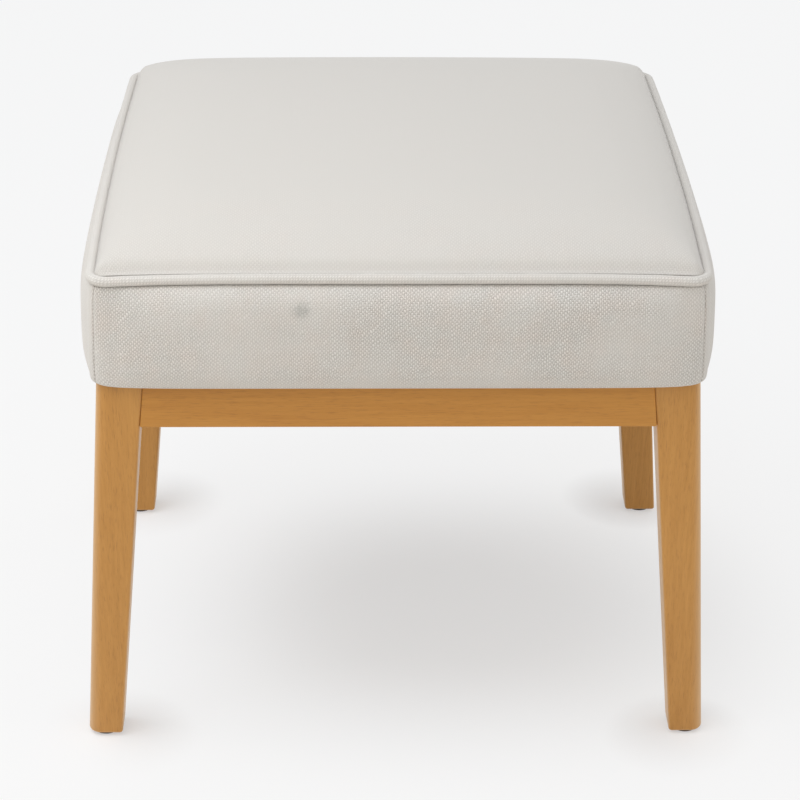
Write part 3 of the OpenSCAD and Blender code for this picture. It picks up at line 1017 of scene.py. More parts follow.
    def rim_dip(self, u: float, v: float) -> float:
        """Returns how far the crown's rim dips towards the corners at a place from -1 to 1 each way."""
        dip = self.back_dip if v > 0 else self.front_dip
        return dip * abs(u * v) ** 4 * max(abs(u), abs(v)) ** 12

    def runs(self, side: Side, steps: int, bend_steps: int, eased: bool) -> list[float]:
        """Spaces places along a side and round the nearer half of both its corners.

        Args:
            side: the side.
            steps: places on half of the straight stretch.
            bend_steps: places on half of a corner.
            eased: whether the places crowd towards the corners.

        Returns:
            Distances from the middle of the side, without the one that the last side ended on.
        """
        straight = self.reach(side) - self.corner_radius
        arc = self.half_run(side) - straight
        bend = [straight + arc * k / bend_steps for k in range(1, bend_steps + 1)]
        shares = [k / steps for k in range(-steps, steps + 1)]
        if eased:
            shares = [math.sin(math.pi / 2 * share) for share in shares]
        return [-b for b in reversed(bend[:-1])] + [straight * share for share in shares] + bend

    def stations(self) -> list[tuple[Side, float]]:
        """Returns places round the seat, closer together at the corners."""
        return [(side, run) for side in Side for run in self.runs(side, steps=14, bend_steps=4, eased=True)]

    def ring(self, inset: float, z: float, bow: float = 1, swell: float = 0, dip: float = 0) -> list[Vector]:
        """Returns a closed ring round the seat at one inset and height."""
        return [self.point(side, run, inset, z, bow, swell, dip) for side, run in self.stations()]

    def shrunk_ring(self, inset: float, z: float, share: float) -> list[Vector]:
        """Returns a ring at a height, drawn in to a share of its size."""
        return [Vector((point.x * share, point.y * share, z)) for point in self.ring(inset, z)]

    def crown_ring(self, share: float, inset: float, z: float, lift: float, drop: float) -> list[Vector]:
        """Finds a ring of a crowned surface that follows the top panel.

        Args:
            share: the ring's size, as a share of the rim's.
            inset: how far the rim lies inside the outline.
            z: height of the rim.
            lift: height of the crown over the rim.
            drop: how much of the corners' dip it takes.

        Returns:
            The points.
        """
        full, found = self.shoulder + self.dome, []
        for side, run in self.stations():
            edge = self.point(side, run, inset, z, 1, 0, 0)
            across = share * run / self.half_run(side)
            u, v = ((across, -share), (share, across), (-across, share), (-share, -across))[side.value]
            height = (self.rise(u, v) + self.rim_dip(u, v) * (1 - drop)) / full
            found.append(Vector((edge.x * share, edge.y * share, z + lift * height)))
        return found


def even_steps(length: float, step: float, fine: Sequence[float]) -> list[float]:
    """Spaces places along a run, with chosen finer places near both ends.

    Args:
        length: half the run.
        step: the spacing in the middle.
        fine: distances from an end, rising.

    Returns:
        Places from minus to plus the length.
    """
    inner = length - fine[-1]
    count = max(2, round(2 * inner / step))
    middle = [-inner + 2 * inner * k / count for k in range(count + 1)]
    return [-length + d for d in fine[:-1]] + middle + [length - d for d in reversed(fine[:-1])]


def turn_out_sheet(piece: Piece, outward: Vector) -> None:
    """Turns a sheet's faces so that most of its area looks one way.

    Args:
        piece: the sheet.
        outward: that way.
    """
    lean = sum(polygon.area * polygon.normal.dot(outward) for polygon in piece.data.polygons)
    if lean < 0:
        piece.data.flip_normals()


@dataclass
class SidePanels:
    """The four side panels of the cover, sewn at the corners, each with its hem turned under the frame."""

    form: SeatForm
    hem_width: float = 0.024
    flange: float = 0.0034
    flange_fold: float = 0.002
    flange_lift: float = 0.0001
    face_steps: int = 26
    crowding: float = 0.55
    seam_radius: float = 0.0014
    hem_radius: float = 0.002
    hem_steps: int = 6
    corner_hem_radius: float = 0.0026
    corner_width: float = 0.014
    droop: float = 0.0014
    overhang: float = 0.0040
    step: float = 0.0045
    seam_pucker: float = 0.22 * MM
    edge_pucker: float = 0.16 * MM
    fine: tuple[float, ...] = (0, 0.00015, 0.0005, 0.001, 0.0018, 0.003, 0.0048, 0.007, 0.010, 0.014)
    names: tuple[str, ...] = ("front_side_panel", "right_side_panel", "back_side_panel", "left_side_panel")

    def seam_tuck(self, from_end: float) -> float:
        """Finds how far the cloth turns into the corner seam.

        Args:
            from_end: the distance from the panel's end.

        Returns:
            The inset there, which the last row of points has a millimetre more of.
        """
        radius = self.seam_radius
        if from_end >= radius:
            return 0.0
        tuck = radius - math.sqrt(max(0.0, radius ** 2 - (radius - from_end) ** 2))
        return tuck + (MM if from_end < 1e-6 else 0)

    def pucker(self, run: float, height: float, from_end: float) -> float:
        """Finds the slight inward waves that the stitching draws along the corner seam and under the piping.

        Args:
            run: distance from the middle of the side.
            height: share of the panel's height.
            from_end: distance from the panel's end.

        Returns:
            The inset of the waves.
        """
        seam_fade, seam_waves = 0.006, 86 / 7.5
        top_fade, top_wave, top_change = 13, 0.011, 31
        near_seam = math.exp(-from_end / seam_fade) * math.sin(height * seam_waves * math.tau)
        near_top = math.exp(-(1 - height) * top_fade)
        near_top *= math.sin(run / top_wave * math.tau + 3 * math.sin(run * top_change))
        return self.seam_pucker * near_seam + self.edge_pucker * near_top

    def column(self, side: Side, run: float) -> list[Vector]:
        """Finds the points of a panel at one place along its side.

        Args:
            side: the side.
            run: distance from the middle of the side.

        Returns:
            The points from the flange down, round the lower edge and under to the hem.
        """
        form = self.form
        from_end = form.half_run(side) - form.seam_gap / 2 - abs(run)
        tuck = self.seam_tuck(from_end)
        depth = form.boxing_top - form.hem_z
        top_inset = form.piping_radius - form.fabric / 2 - 0.1 * MM
        closeness = math.exp(-((from_end / self.corner_width) ** 2))
        radius = self.hem_radius + (self.corner_hem_radius - self.hem_radius) * closeness
        low = radius / depth
        hang = self.droop * abs(form.station(side, run)[0]) ** 8 * (1 - 0.7 * closeness)

        def panel(height: float, extra: float, z: float, dip: float) -> Vector:
            """Returns a point at a share of the panel's height, with an extra inset."""
            inset = form.hem_inset + (top_inset - form.hem_inset) * height + tuck + extra
            return form.point(side, run, inset, z, height, form.bulge(height), dip)

        flange_z = form.boxing_top + self.flange_lift
        points = [form.point(side, run, top_inset + extra + tuck * 0.5, flange_z, 1, 0, 1)
                  for extra in (self.flange, self.flange_fold)]
        for k in range(self.face_steps + 1):
            eased, even = 0.5 + 0.5 * math.cos(math.pi * k / self.face_steps), 1 - k / self.face_steps
            height = low + (1 - low) * (self.crowding * eased + (1 - self.crowding) * even)
            waves = self.pucker(run, height, from_end)
            points.append(panel(height, waves, form.hem_z + height * depth, height))
        for k in range(1, self.hem_steps + 1):
            angle, share = math.pi / 2 * k / self.hem_steps, k / self.hem_steps
            z = form.hem_z + radius * (1 - math.sin(angle)) - hang * share ** 1.5
            points.append(panel(low, radius * (1 - math.cos(angle)), z, low * (1 - share)))
        outer, inner = (form.point(side, run, inset, form.hem_z, 0, 0, 0)
                        for inset in (self.overhang, self.hem_width))
        return points + [outer] + [outer.lerp(inner, k / 4) for k in range(1, 5)]

    def build(self, material: Material, marked: Material) -> None:
        """Makes the four panels.

        Args:
            material: the cover's cloth.
            marked: the same cloth with the rubbed mark, for the front.
        """
        for side, name in zip(Side, self.names):
            half = self.form.half_run(side) - self.form.seam_gap / 2
            runs = even_steps(half, self.step, self.fine)
            columns = [self.column(side, run) for run in runs]
            marks = []
            for run, column in zip(runs, columns):
                fall, row = 0.0, []
                for k, point in enumerate(column):
                    fall -= (point - column[k - 1]).length if k else 0
                    row.append((run, fall))
                marks.append(row)
            piece = from_grid(name, columns, marks)
            turn_out_sheet(piece, round_to(side, Vector((0, -1, 0))))
            thicken(piece, self.form.fabric)
            smooth(piece)
            cloth = marked if side is Side.FRONT else material
            place_on_stool(piece, cloth, "cover_fabric", f"boxing_{side.name.lower()}")
            declare_cloth(columns, ["wadding_layer"])


@dataclass
class TopPanel:
    """The crowned top panel of the cover, from its seam inside the piping up over the wadding."""

    form: SeatForm
    cells: int = 84
    cap: float = 0.0010
    evening: int = 30
    pressure: float = 4.0
    frames: int = 20
    crowding: float = 0.62
    seam_turns: tuple[tuple[float, float], ...] = ((1.1, 0.9), (1.0, 1.7), (0.2, 1.9))

    def rim(self, side: Side, share: float) -> Vector:
        """Returns a point of the rim at a share from -1 to 1 along a side."""
        return self.form.rim(side, share * self.form.half_run(side))

    def surface(self, u: float, v: float) -> Vector:
        """Finds a point of the panel, blended from its four rims and raised by the crown.

        Args:
            u: place from -1 at the left to 1 at the right.
            v: place from -1 at the front to 1 at the back.

        Returns:
            The point.
        """
        s, t = (u + 1) / 2, (v + 1) / 2
        front, back = self.rim(Side.FRONT, u), self.rim(Side.BACK, -u)
        left, right = self.rim(Side.LEFT, -v), self.rim(Side.RIGHT, v)
        corners = [self.rim(side, end) for side in (Side.FRONT, Side.BACK) for end in (-1, 1)]
        blend = ((1 - t) * front + t * back + (1 - s) * left + s * right
                 - (1 - s) * (1 - t) * corners[0] - s * (1 - t) * corners[1]
                 - (1 - s) * t * corners[3] - s * t * corners[2])
        blend.z += self.form.rise(u, v)
        return blend

    def build(self, material: Material) -> None:
        """Makes the panel and lets its cloth settle.

        Args:
            material: the cover's cloth.
        """
        shares = [2 * k / self.cells for k in range(-self.cells // 2, self.cells // 2 + 1)]
        places = [self.crowding * math.sin(math.pi / 2 * share) + (1 - self.crowding) * share
                  for share in shares]
        rows = [[self.surface(u, v) for u in places] for v in places]
        middle = len(places) // 2
        across = running_lengths(rows[middle])
        along = running_lengths([row[middle] for row in rows])
        piece = from_grid("top_panel", rows, [[(a, b) for a in across] for b in along])
        turn_out_sheet(piece, Vector((0, 0, 1)))
        self.settle(piece)
        self.turn_in_seam(piece)
        thicken(piece, self.form.fabric)
        smooth(piece)
        place_on_stool(piece, material, "cover_fabric", "cover_top")
        declare_cloth(rows, ["wadding_layer"])

    def settle(self, piece: Piece) -> None:
        """Lets the panel's cloth fill out over the wadding, with its seam held.

        The cloth's moves are evened out between neighbours and kept under a cap.

        Args:
            piece: the panel.
        """
        mesh = piece.data
        held = piece.vertex_groups.new(name="seam")
        count = self.cells + 1
        ends = (0, count - 1)
        fixed = {i for i in range(count * count) if i % count in ends or i // count in ends}
        held.add(list(fixed), 1.0, "REPLACE")
        start = [vertex.co.copy() for vertex in mesh.vertices]
        near: list[list[int]] = [[] for _ in start]
        for edge in mesh.edges:
            first, second = edge.vertices
            near[first].append(second)
            near[second].append(first)
        self.simulate(piece)
        moves = [vertex.co - before for vertex, before in zip(mesh.vertices, start)]
        for _ in range(self.evening):
            moves = [sum((moves[n] for n in around), Vector()) / len(around) if i not in fixed else Vector()
                     for i, around in enumerate(near)]
        for vertex, before, move in zip(mesh.vertices, start, moves):
            vertex.co = before + move * min(1, self.cap / max(move.length, 1e-9))

    def simulate(self, piece: Piece) -> None:
        """Runs the cloth simulation that blows the panel out a little, and keeps its last frame.

        Args:
            piece: the panel, whose seam vertex group stays where it is.
        """
        cloth = piece.modifiers.new("Cloth", "CLOTH")
        cloth.settings.vertex_group_mass = "seam"
        cloth.settings.use_pressure = True
        cloth.settings.uniform_pressure_force = self.pressure
        cloth.settings.effector_weights.gravity = 0
        cloth.settings.quality = 5
        cloth.settings.mass = 0.4
        cloth.point_cache.frame_start, cloth.point_cache.frame_end = 1, self.frames
        scene = bpy.context.scene
        for number in range(1, self.frames + 1):
            scene.frame_set(number)
        pick(piece)
        bpy.ops.object.modifier_apply(modifier=cloth.name)
        scene.frame_set(1)

    def turn_in_seam(self, piece: Piece) -> None:
        """Extrudes the panel's edge down round the inside of the piping into the seam.

        Args:
            piece: the panel.
        """
        select_in_mesh(piece, "EDGE", lambda edge: edge.is_boundary)
        for inward, down in self.seam_turns:
            bpy.ops.mesh.extrude_region_move(TRANSFORM_OT_translate={"value": (0, 0, -down * MM)})
            shrink = [1 - inward * MM / size * 2 for size in (self.form.width, self.form.depth)]
            bpy.ops.transform.resize(value=(*shrink, 1), center_override=(0, 0, 0))
        bpy.ops.object.mode_set(mode="OBJECT")


@dataclass
class Piping:
    """The piping: a tube of bias-cut cloth round a twisted cord, with its joint in the middle of the back."""

    form: SeatForm
    joint_gap: float = 0.0003
    casing_share: float = 0.9
    casing_sides: int = 20
    casing_unevenness: float = 0.035 * MM
    casing_twist: float = 0.02 * MM
    casing_waves: tuple[tuple[float, float], ...] = ((143, 0), (311, 1.3), (57, 0.4))
    cord_radius: float = 0.0026
    cord_sides: int = 12
    strands: int = 3
    lay_length: float = 0.018
    hollow: float = 0.05

    def path(self) -> list[tuple[Vector, Vector]]:
        """Finds the middle of the piping, round the seat from the middle of the back.

        Returns:
            Points, each with its outward direction.
        """
        form, found = self.form, []
        joint = self.joint_gap / 2
        order = (Side.BACK, Side.LEFT, Side.FRONT, Side.RIGHT, Side.BACK)
        for index, side in enumerate(order):
            runs = form.runs(side, steps=46, bend_steps=7, eased=False)
            if index == 0:
                runs = [joint] + [run for run in runs if run > 1e-4]
            if index == len(order) - 1:
                runs = [run for run in runs if run < -1e-4] + [-joint]
            for run in runs:
                turn = form.station(side, run)[1]
                out = round_to(side, Vector((math.sin(turn), -math.cos(turn), 0)))
                found.append((form.point(side, run, form.piping_radius, form.piping_z), out))
        return found

    def tube(self, name: str, radius: Callable[[float, float], float], sides: int) -> Piece:
        """Sweeps a round section along the piping.

        Args:
            name: the piece's name.
            radius: the section's radius at an angle and at a distance along the piping.
            sides: points round the section.

        Returns:
            The open tube, its faces turned out.
        """
        rows, marks, along = [], [], 0.0
        path = self.path()
        for k, (middle, out) in enumerate(path):
            along += (middle - path[k - 1][0]).length if k else 0
            angles = [math.tau * n / sides for n in range(sides)]
            spokes = [math.cos(angle) * out + Vector((0, 0, math.sin(angle))) for angle in angles]
            rows.append([middle + radius(angle, along) * spoke for angle, spoke in zip(angles, spokes)])
            marks.append([(angle * self.form.piping_radius, along) for angle in angles])
        tube = from_grid(name, rows, marks, closed=True)
        first = tube.data.polygons[0]
        if first.normal.dot(first.center - path[0][0]) < 0:
            tube.data.flip_normals()
        return tube

    def casing_radius(self, angle: float, along: float) -> float:
        """Finds the casing's radius, which varies a little as hand-sewn piping does.

        Args:
            angle: the angle round the piping.
            along: the distance along it.

        Returns:
            The radius.
        """
        wave = sum(math.sin(along * pace + start) for pace, start in self.casing_waves)
        twist = math.sin(3 * angle + along * 200)
        return self.form.piping_radius + self.casing_unevenness * wave + self.casing_twist * twist

    def cord_outline(self, angle: float, along: float) -> float:
        """Returns the radius of the twisted cord, which has a hollow between its strands."""
        turned = angle - math.tau * along / self.lay_length
        return self.cord_radius * (0.95 - self.hollow * abs(math.sin(self.strands / 2 * turned)))

    def build(self, material: Material, cord_material: Material) -> None:
        """Makes the casing and its cord.

        Args:
            material: the casing's cloth.
            cord_material: the cord's cotton.
        """
        casing = self.tube("piping_cover", self.casing_radius, self.casing_sides)
        thicken(casing, self.form.fabric * self.casing_share)
        smooth(casing)
        place_on_stool(casing, material, "cover_fabric", "piping_casing")
        cord = self.tube("piping_core", self.cord_outline, self.cord_sides)
        select_in_mesh(cord, "EDGE", lambda edge: edge.is_boundary)
        bpy.ops.mesh.fill_holes(sides=0)
        bpy.ops.object.mode_set(mode="OBJECT")
        turn_out(cord)
        smooth(cord)
        place_on_stool(cord, cord_material, "cotton_cord", "piping_cord")


@dataclass
class Filling:
    """What fills the seat: a foam block, a foam dome on it, and a layer of wadding over both."""

    form: SeatForm
    foam_inset: float = 0.0125
    dome_edge: float = 0.003
    dome_play: float = 0.0001
    rail_inset: float = 0.007
    gap: float = 0.0003
    ease: float = 0.0022
    ease_steps: int = 4
    hem_ease: float = 0.0022
    side_top: float = 0.93
    waist_depth: float = 0.002
    end_shares: tuple[float, ...] = (0.3, 0.7, 0.95)
    crown_shares: tuple[float, ...] = (0.12, 0.26, 0.4, 0.53, 0.65, 0.75, 0.83, 0.89, 0.935, 0.965, 0.983,
                                       0.994)

    def closed(self, name: str, rings: Grid, degrees: float | None, material: Material, node: str,
               fill: float) -> None:
        """Closes rings to a body whose tips lie in the middle of its first and last rings, and dresses it.

        Args:
            name: the piece's name.
            rings: the rings.
            degrees: the angle past which an edge stays sharp, if any.
            material: its material.
            node: the solid that it replaces.
            fill: how full it is; it is not used.
        """
        tips = [Vector((0, 0, sum(point.z for point in ring) / len(ring))) for ring in (rings[0], rings[-1])]
        piece = from_rings(name, rings, *tips)
        smooth(piece, degrees)
        slot = "polyester_wadding" if node == "wadding_wrap" else "seat_foam"
        place_on_stool(piece, material, slot, node)

    def block(self, material: Material) -> None:
        """Makes the foam block, with its cut edges eased.

        Args:
            material: the foam.
        """
        low, high = (corner.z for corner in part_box("foam_slab"))
        form, inset, ease = self.form, self.foam_inset, self.ease
        turns = [math.pi / 2 * k / self.ease_steps for k in range(self.ease_steps + 1)]
        rings = [form.shrunk_ring(inset, low, share) for share in self.end_shares]
        rings += [form.ring(inset + ease * (1 - math.sin(turn)), low + ease * (1 - math.cos(turn)))
                  for turn in turns]
        rings += [form.ring(inset, low + (high - low) * k / 8) for k in range(1, 8)]
        rings += [form.ring(inset + ease * (1 - math.cos(turn)), high - ease * (1 - math.sin(turn)))
                  for turn in turns]
        rings += [form.shrunk_ring(inset, high, share) for share in reversed(self.end_shares)]
        self.closed("foam_block", rings, 40, material, "foam_slab", 1.0)

    def dome(self, material: Material) -> None:
        """Makes the domed foam that gives the seat its crown.

        Args:
            material: the foam.
        """
        low, high = (corner.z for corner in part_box("foam_crown"))
        inset, side = self.foam_inset + self.dome_play, self.dome_edge
        rings = [self.form.shrunk_ring(inset, low, share) for share in self.end_shares]
        rings += [self.form.ring(inset, low), self.form.ring(inset, low + side * 0.6)]
        rings += [self.form.crown_ring(share, inset, low + side, high - low - side, 0)
                  for share in (1, *reversed(self.crown_shares))]
        self.closed("foam_dome", rings, 40, material, "foam_crown", 1.0)

    def wadding(self, material: Material) -> None:
        """Makes the wadding: a soft layer from the hem up the sides, in under the piping, and over the crown.

        Args:
            material: the wadding.
        """
        form, gap = self.form, self.gap
        under = form.fabric + gap + 0.1 * MM
        foam_low, foam_top = (corner.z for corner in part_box("foam_slab"))
        hem = form.hem_z + form.fabric + gap
        crown_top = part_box("wadding_wrap")[1].z
        depth = form.boxing_top - form.hem_z
        waist = form.piping_radius * 2 + gap
        rim = form.rim_z - under
        outer = [form.crown_ring(share, waist, rim, crown_top - rim, 1) for share in self.crown_shares]
        outer += [form.ring(waist, rim, dip=0.9), form.ring(waist, form.piping_z, dip=1)]
        outer.append(form.ring(waist, form.boxing_top - self.waist_depth, dip=1))
        for height in [self.side_top - self.side_top * k / 20 for k in range(21)]:
            z = form.hem_z + height * depth
            inset = form.hem_inset + (form.piping_radius - form.hem_inset) * height + under
            inset += max(0.0, self.hem_ease - (z - hem))
            outer.append(form.ring(inset, max(z, hem), height, form.bulge(height), height))
        rail, foam = self.rail_inset - gap, self.foam_inset - gap
        inner = [form.ring(rail, hem, 0), form.ring(rail, foam_low - gap, 0), form.ring(foam, foam_low + gap),
                 form.ring(foam, foam_top)]
        low, high = (corner.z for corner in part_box("foam_crown"))
        lift = high - low - self.dome_edge
        inner += [form.crown_ring(share, foam, low + self.dome_edge + gap, lift, 0)
                  for share in (1, *reversed(self.crown_shares))]
        self.closed("wadding_layer", outer + inner, None, material, "wadding_wrap", 0.7)

    def build(self, foam: Material, wadding: Material) -> None:
        """Makes the filling.

        Args:
            foam: the material of the block and the dome.
            wadding: the material of the layer over them.
        """
        self.block(foam)
        self.dome(foam)
        self.wadding(wadding)


@dataclass
class SeatBase:
    """The webbing, the felt on it and the dust cover under the seat frame."""

    strap_width: float = 0.050
    strap_thickness: float = 0.0015
    strap_cells: int = 150
    strap_ramp: float = 0.014
    strap_ease: float = 0.0015
    fold: float = 0.025
    gap: float = 0.0003
    straps: int = 4
    felt_thickness: float = 0.002
    dust_thickness: float = 0.0008
    sag: float = 0.0016
    sheet_cells: int = 36
    corner_cut: float = 0.045
    free_share: float = 0.88
    wave_share: float = 0.22

    def strap_line(self, reach: float, crossings: Sequence[float], raised: Sequence[bool],
                   low: float) -> list[tuple[float, float]]:
        """Finds the line of a strap seen from its side.

        Args:
            reach: half the distance between its folded ends.
            crossings: where the other straps cross it.
            raised: whether it passes over each of them.
            low: height of its middle where it lies low.

        Returns:
            Places along the strap, each with its height.
        """
        rise, thick = self.strap_thickness + self.gap, self.strap_thickness
        line = []
        for k in range(self.strap_cells + 1):
            place = -reach + thick + 2 * (reach - thick) * k / self.strap_cells
            lift = 0.0
            for crossing, over in zip(crossings, raised):
                away = abs(place - crossing) - self.strap_width / 2
                share = min(1.0, max(0.0, 1 - (away - self.strap_ease) / self.strap_ramp))
                lift = max(lift, (share * share * (3 - 2 * share)) if over else 0.0)
            line.append((place, low + rise * lift))
        turns = [math.pi * k / 6 for k in range(1, 6)]
        bend = [(rise / 2 * math.sin(turn), rise / 2 * (1 - math.cos(turn))) for turn in turns]
        inward = [(reach - thick - self.fold * k / 5, low + rise) for k in range(6)]
        right = [(line[-1][0] + x, low + z) for x, z in bend] + inward
        return [(-x, z) for x, z in reversed(right)] + line + right

    def webbing(self, node: str, name: str, axis: int, material: Material) -> None:
        """Weaves the straps that run one way, each with its ends folded back.

        Args:
            node: the solid that they replace.
            name: the pieces' name.
            axis: the axis that they run along, 0 or 1.
            material: their material.
        """
        others = "webbing_lengthwise" if axis == 0 else "webbing_crosswise"
        rails = ["seat_rail_left", "seat_rail_right"] if axis == 0 else ["seat_rail_front", "seat_rail_back"]
        low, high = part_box(node)
        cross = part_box(others)[1][axis] - self.strap_width / 2
        own = high[1 - axis] - self.strap_width / 2
        middle_z = low.z + self.strap_thickness / 2
        shares = [-1 + 2 * k / (self.straps - 1) for k in range(self.straps)]
        for index, share in enumerate(shares):
            raised = [(j + index + axis) % 2 == 0 for j in range(self.straps)]
            line = self.strap_line(high[axis], [s * cross for s in shares], raised, middle_z)
            spots = [own * share + self.strap_width * (w / 6 - 0.5) for w in range(7)]
            rows, marks, along = [], [], 0.0
            for k, (place, z) in enumerate(line):
                along += math.dist(line[k - 1], (place, z)) if k else 0
                rows.append([Vector((place, s, z) if axis == 0 else (s, place, z)) for s in spots])
                marks.append([(s, along) for s in spots])
            strap = from_grid(f"{name}_{index + 1}", rows, marks)
            turn_out_sheet(strap, Vector((0, 0, 1)))
            thicken(strap, self.strap_thickness, 0)
            smooth(strap, 40)
            place_on_stool(strap, material, "jute_webbing", *([node] if index == 0 else []))
            declare_cloth(rows, rails)

    def sheet(self, node: str, name: str, slot: str, thickness: float, sag: float, material: Material,
              rests_on: Sequence[str]) -> None:
        """Makes a flat sheet in the place of its solid, with a slight sag and small waves in the middle.

        Args:
            node: the solid.
            name: the piece's name.
            slot: a name for its finish, passed on but not used.
            thickness: the cloth's thickness.
            sag: how far its middle hangs down.
            material: its material.
            rests_on: what carries it.
        """
        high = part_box(node)[1]
        places = [-1 + 2 * k / self.sheet_cells for k in range(self.sheet_cells + 1)]
        rows = []
        for v in places:
            row = []
            for u in places:
                corner = max(0.0, abs(u) + abs(v) - 2 + self.corner_cut) / 2
                x, y = (u - math.copysign(corner, u)) * high.x, (v - math.copysign(corner, v)) * high.y
                free_x, free_y = (max(0.0, 1 - (abs(w) / self.free_share) ** 6) for w in (u, v))
                waves = math.sin(u * 9 + v * 2) + math.sin(v * 11 - u * 3 + 1)
                wave = self.wave_share * sag * waves
                row.append(Vector((x, y, high.z - (sag + wave) * (free_x * free_y))))
            rows.append(row)
        piece = from_grid(name, rows, [[(point.x, point.y) for point in row] for row in rows])
        turn_out_sheet(piece, Vector((0, 0, 1)))
        thicken(piece, thickness)
        smooth(piece, 40)
        place_on_stool(piece, material, slot, node)
        declare_cloth(rows, rests_on)

    def build(self, jute: Material, felt: Material, dust: Material) -> None:
        """Makes the webbing, the felt and the dust cover.

        Args:
            jute: the straps' material.
            felt: the felt.
            dust: the dust cover's cloth.
        """
        self.webbing("webbing_crosswise", "cross_strap", 0, jute)
        self.webbing("webbing_lengthwise", "long_strap", 1, jute)
        rails = [f"seat_rail_{side}" for side in ("front", "back", "left", "right")]
        self.sheet("webbing_felt", "felt_layer", "grey_felt", self.felt_thickness, 0, felt, rails)
        self.sheet("dust_cover", "dust_cover_cloth", "dust_cloth", self.dust_thickness, self.sag, dust, rails)


# Base


@dataclass
class LegSet:
    """The four tapered legs, each splayed to its side, leaning inwards and rounded at its outer corner."""

    top_z: float
    foot_z: float = 0.0025
    half_width: float = 0.235
    half_depth: float = 0.2245
    splay: float = 0.0230
    lean: float = 0.0195
    top: float = 0.0365
    foot: float = 0.0285
    outer_radius: float = 0.011
    outer_segments: int = 12
    edge_radius: float = 0.0025
    edge_segments: int = 4

    def model(self) -> Piece:
        """Models the leg at the back right from a block that is tapered and rounded in edit mode.

        Returns:
            The leg.
        """
        height = self.top_z - self.foot_z
        centre = (self.half_width - self.top / 2, self.half_depth - self.top / 2, self.foot_z + height / 2)
        leg = new_block("back_right_leg", centre, (self.top, self.top, height))
        select_in_mesh(leg, "FACE", lambda face: face.normal.z < -0.5)
        shrink = self.foot / self.top
        foot_middle = (centre[0], centre[1], self.foot_z)
        bpy.ops.transform.resize(value=(shrink, shrink, 1), center_override=foot_middle)
        inward = (self.top - self.foot) / 2
        bpy.ops.transform.translate(value=(self.splay + inward, inward - self.lean, 0))
        bpy.ops.object.mode_set(mode="OBJECT")

        def upright(edge: bmesh.types.BMEdge) -> bool:
            """Tells whether an edge runs from foot to top."""
            return abs(edge.verts[0].co.z - edge.verts[1].co.z) > height / 2

        def outer(edge: bmesh.types.BMEdge) -> bool:
            """Tells whether an edge is the leg's outer corner."""
            high = max(edge.verts, key=lambda vert: vert.co.z).co
            return upright(edge) and high.x > centre[0] and high.y > centre[1]

        def plain_corner(edge: bmesh.types.BMEdge) -> bool:
            """Tells whether an edge is one of the other three corners, which are still sharp."""
            return upright(edge) and not outer(edge) and edge.calc_face_angle(0) > 1

        round_edges(leg, outer, self.outer_radius, self.outer_segments)
        round_edges(leg, plain_corner, self.edge_radius, self.edge_segments)
        for end, radius in ((self.foot_z, self.edge_radius), (self.top_z, self.edge_radius / 2)):
            round_edges(leg, lambda edge, end=end: all(abs(vert.co.z - end) < 1e-5 for vert in edge.verts),
                        radius, self.edge_segments)
        smooth(leg, 30)
        return leg

    def build(self, material: Material) -> None:
        """Makes the four legs.

        Args:
            material: their timber.
        """
        model = self.model()
        legs = {"back_right": model,
                "back_left": mirrored(model, "back_left_leg", True, False),
                "front_right": mirrored(model, "front_right_leg", False, True),
                "front_left": mirrored(model, "front_left_leg", True, True)}
        for corner, leg in legs.items():
            smooth(leg, 30)
            place_on_stool(leg, material, "stained_beech", f"leg_{corner}")


@dataclass
class ApronSet:
    """The four aprons, cut at their ends to the slope of the legs, with eased edges."""

    ease: float = 0.0007
    segments: int = 3

    def board(self, node: str, name: str, lengthways: int) -> Piece:
        """Models an apron in the place of its solid.

        Args:
            node: the solid.
            name: the piece's name.
            lengthways: the axis that the apron runs along, 0 or 1.

        Returns:
            The apron.
        """
        low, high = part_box(node)
        middle = (low + high) / 2
        board = new_block(name, middle, high - low)
        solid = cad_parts[node].data
        top = max(vertex.co[lengthways] for vertex in solid.vertices if vertex.co.z > high.z - 1e-4)
        shrink = [1, 1, 1]
        shrink[lengthways] = top / high[lengthways]
        select_in_mesh(board, "FACE", lambda face: face.normal.z > 0.5)
        bpy.ops.transform.resize(value=shrink, center_override=(middle.x, middle.y, high.z))
        bpy.ops.object.mode_set(mode="OBJECT")
        round_edges(board, lambda edge: True, self.ease, self.segments)
        smooth(board, 30)
        return board

    def build(self, across: Material, along: Material) -> None:
        """Makes the four aprons.

        Args:
            across: the timber whose grain runs along X.
            along: the timber whose grain runs along Y.
        """
        for side, axis in (("front", 0), ("back", 0), ("left", 1), ("right", 1)):
            board = self.board(f"apron_{side}", f"{side}_apron", axis)
            place_on_stool(board, along if axis else across, "stained_beech", f"apron_{side}")


# Fastenings


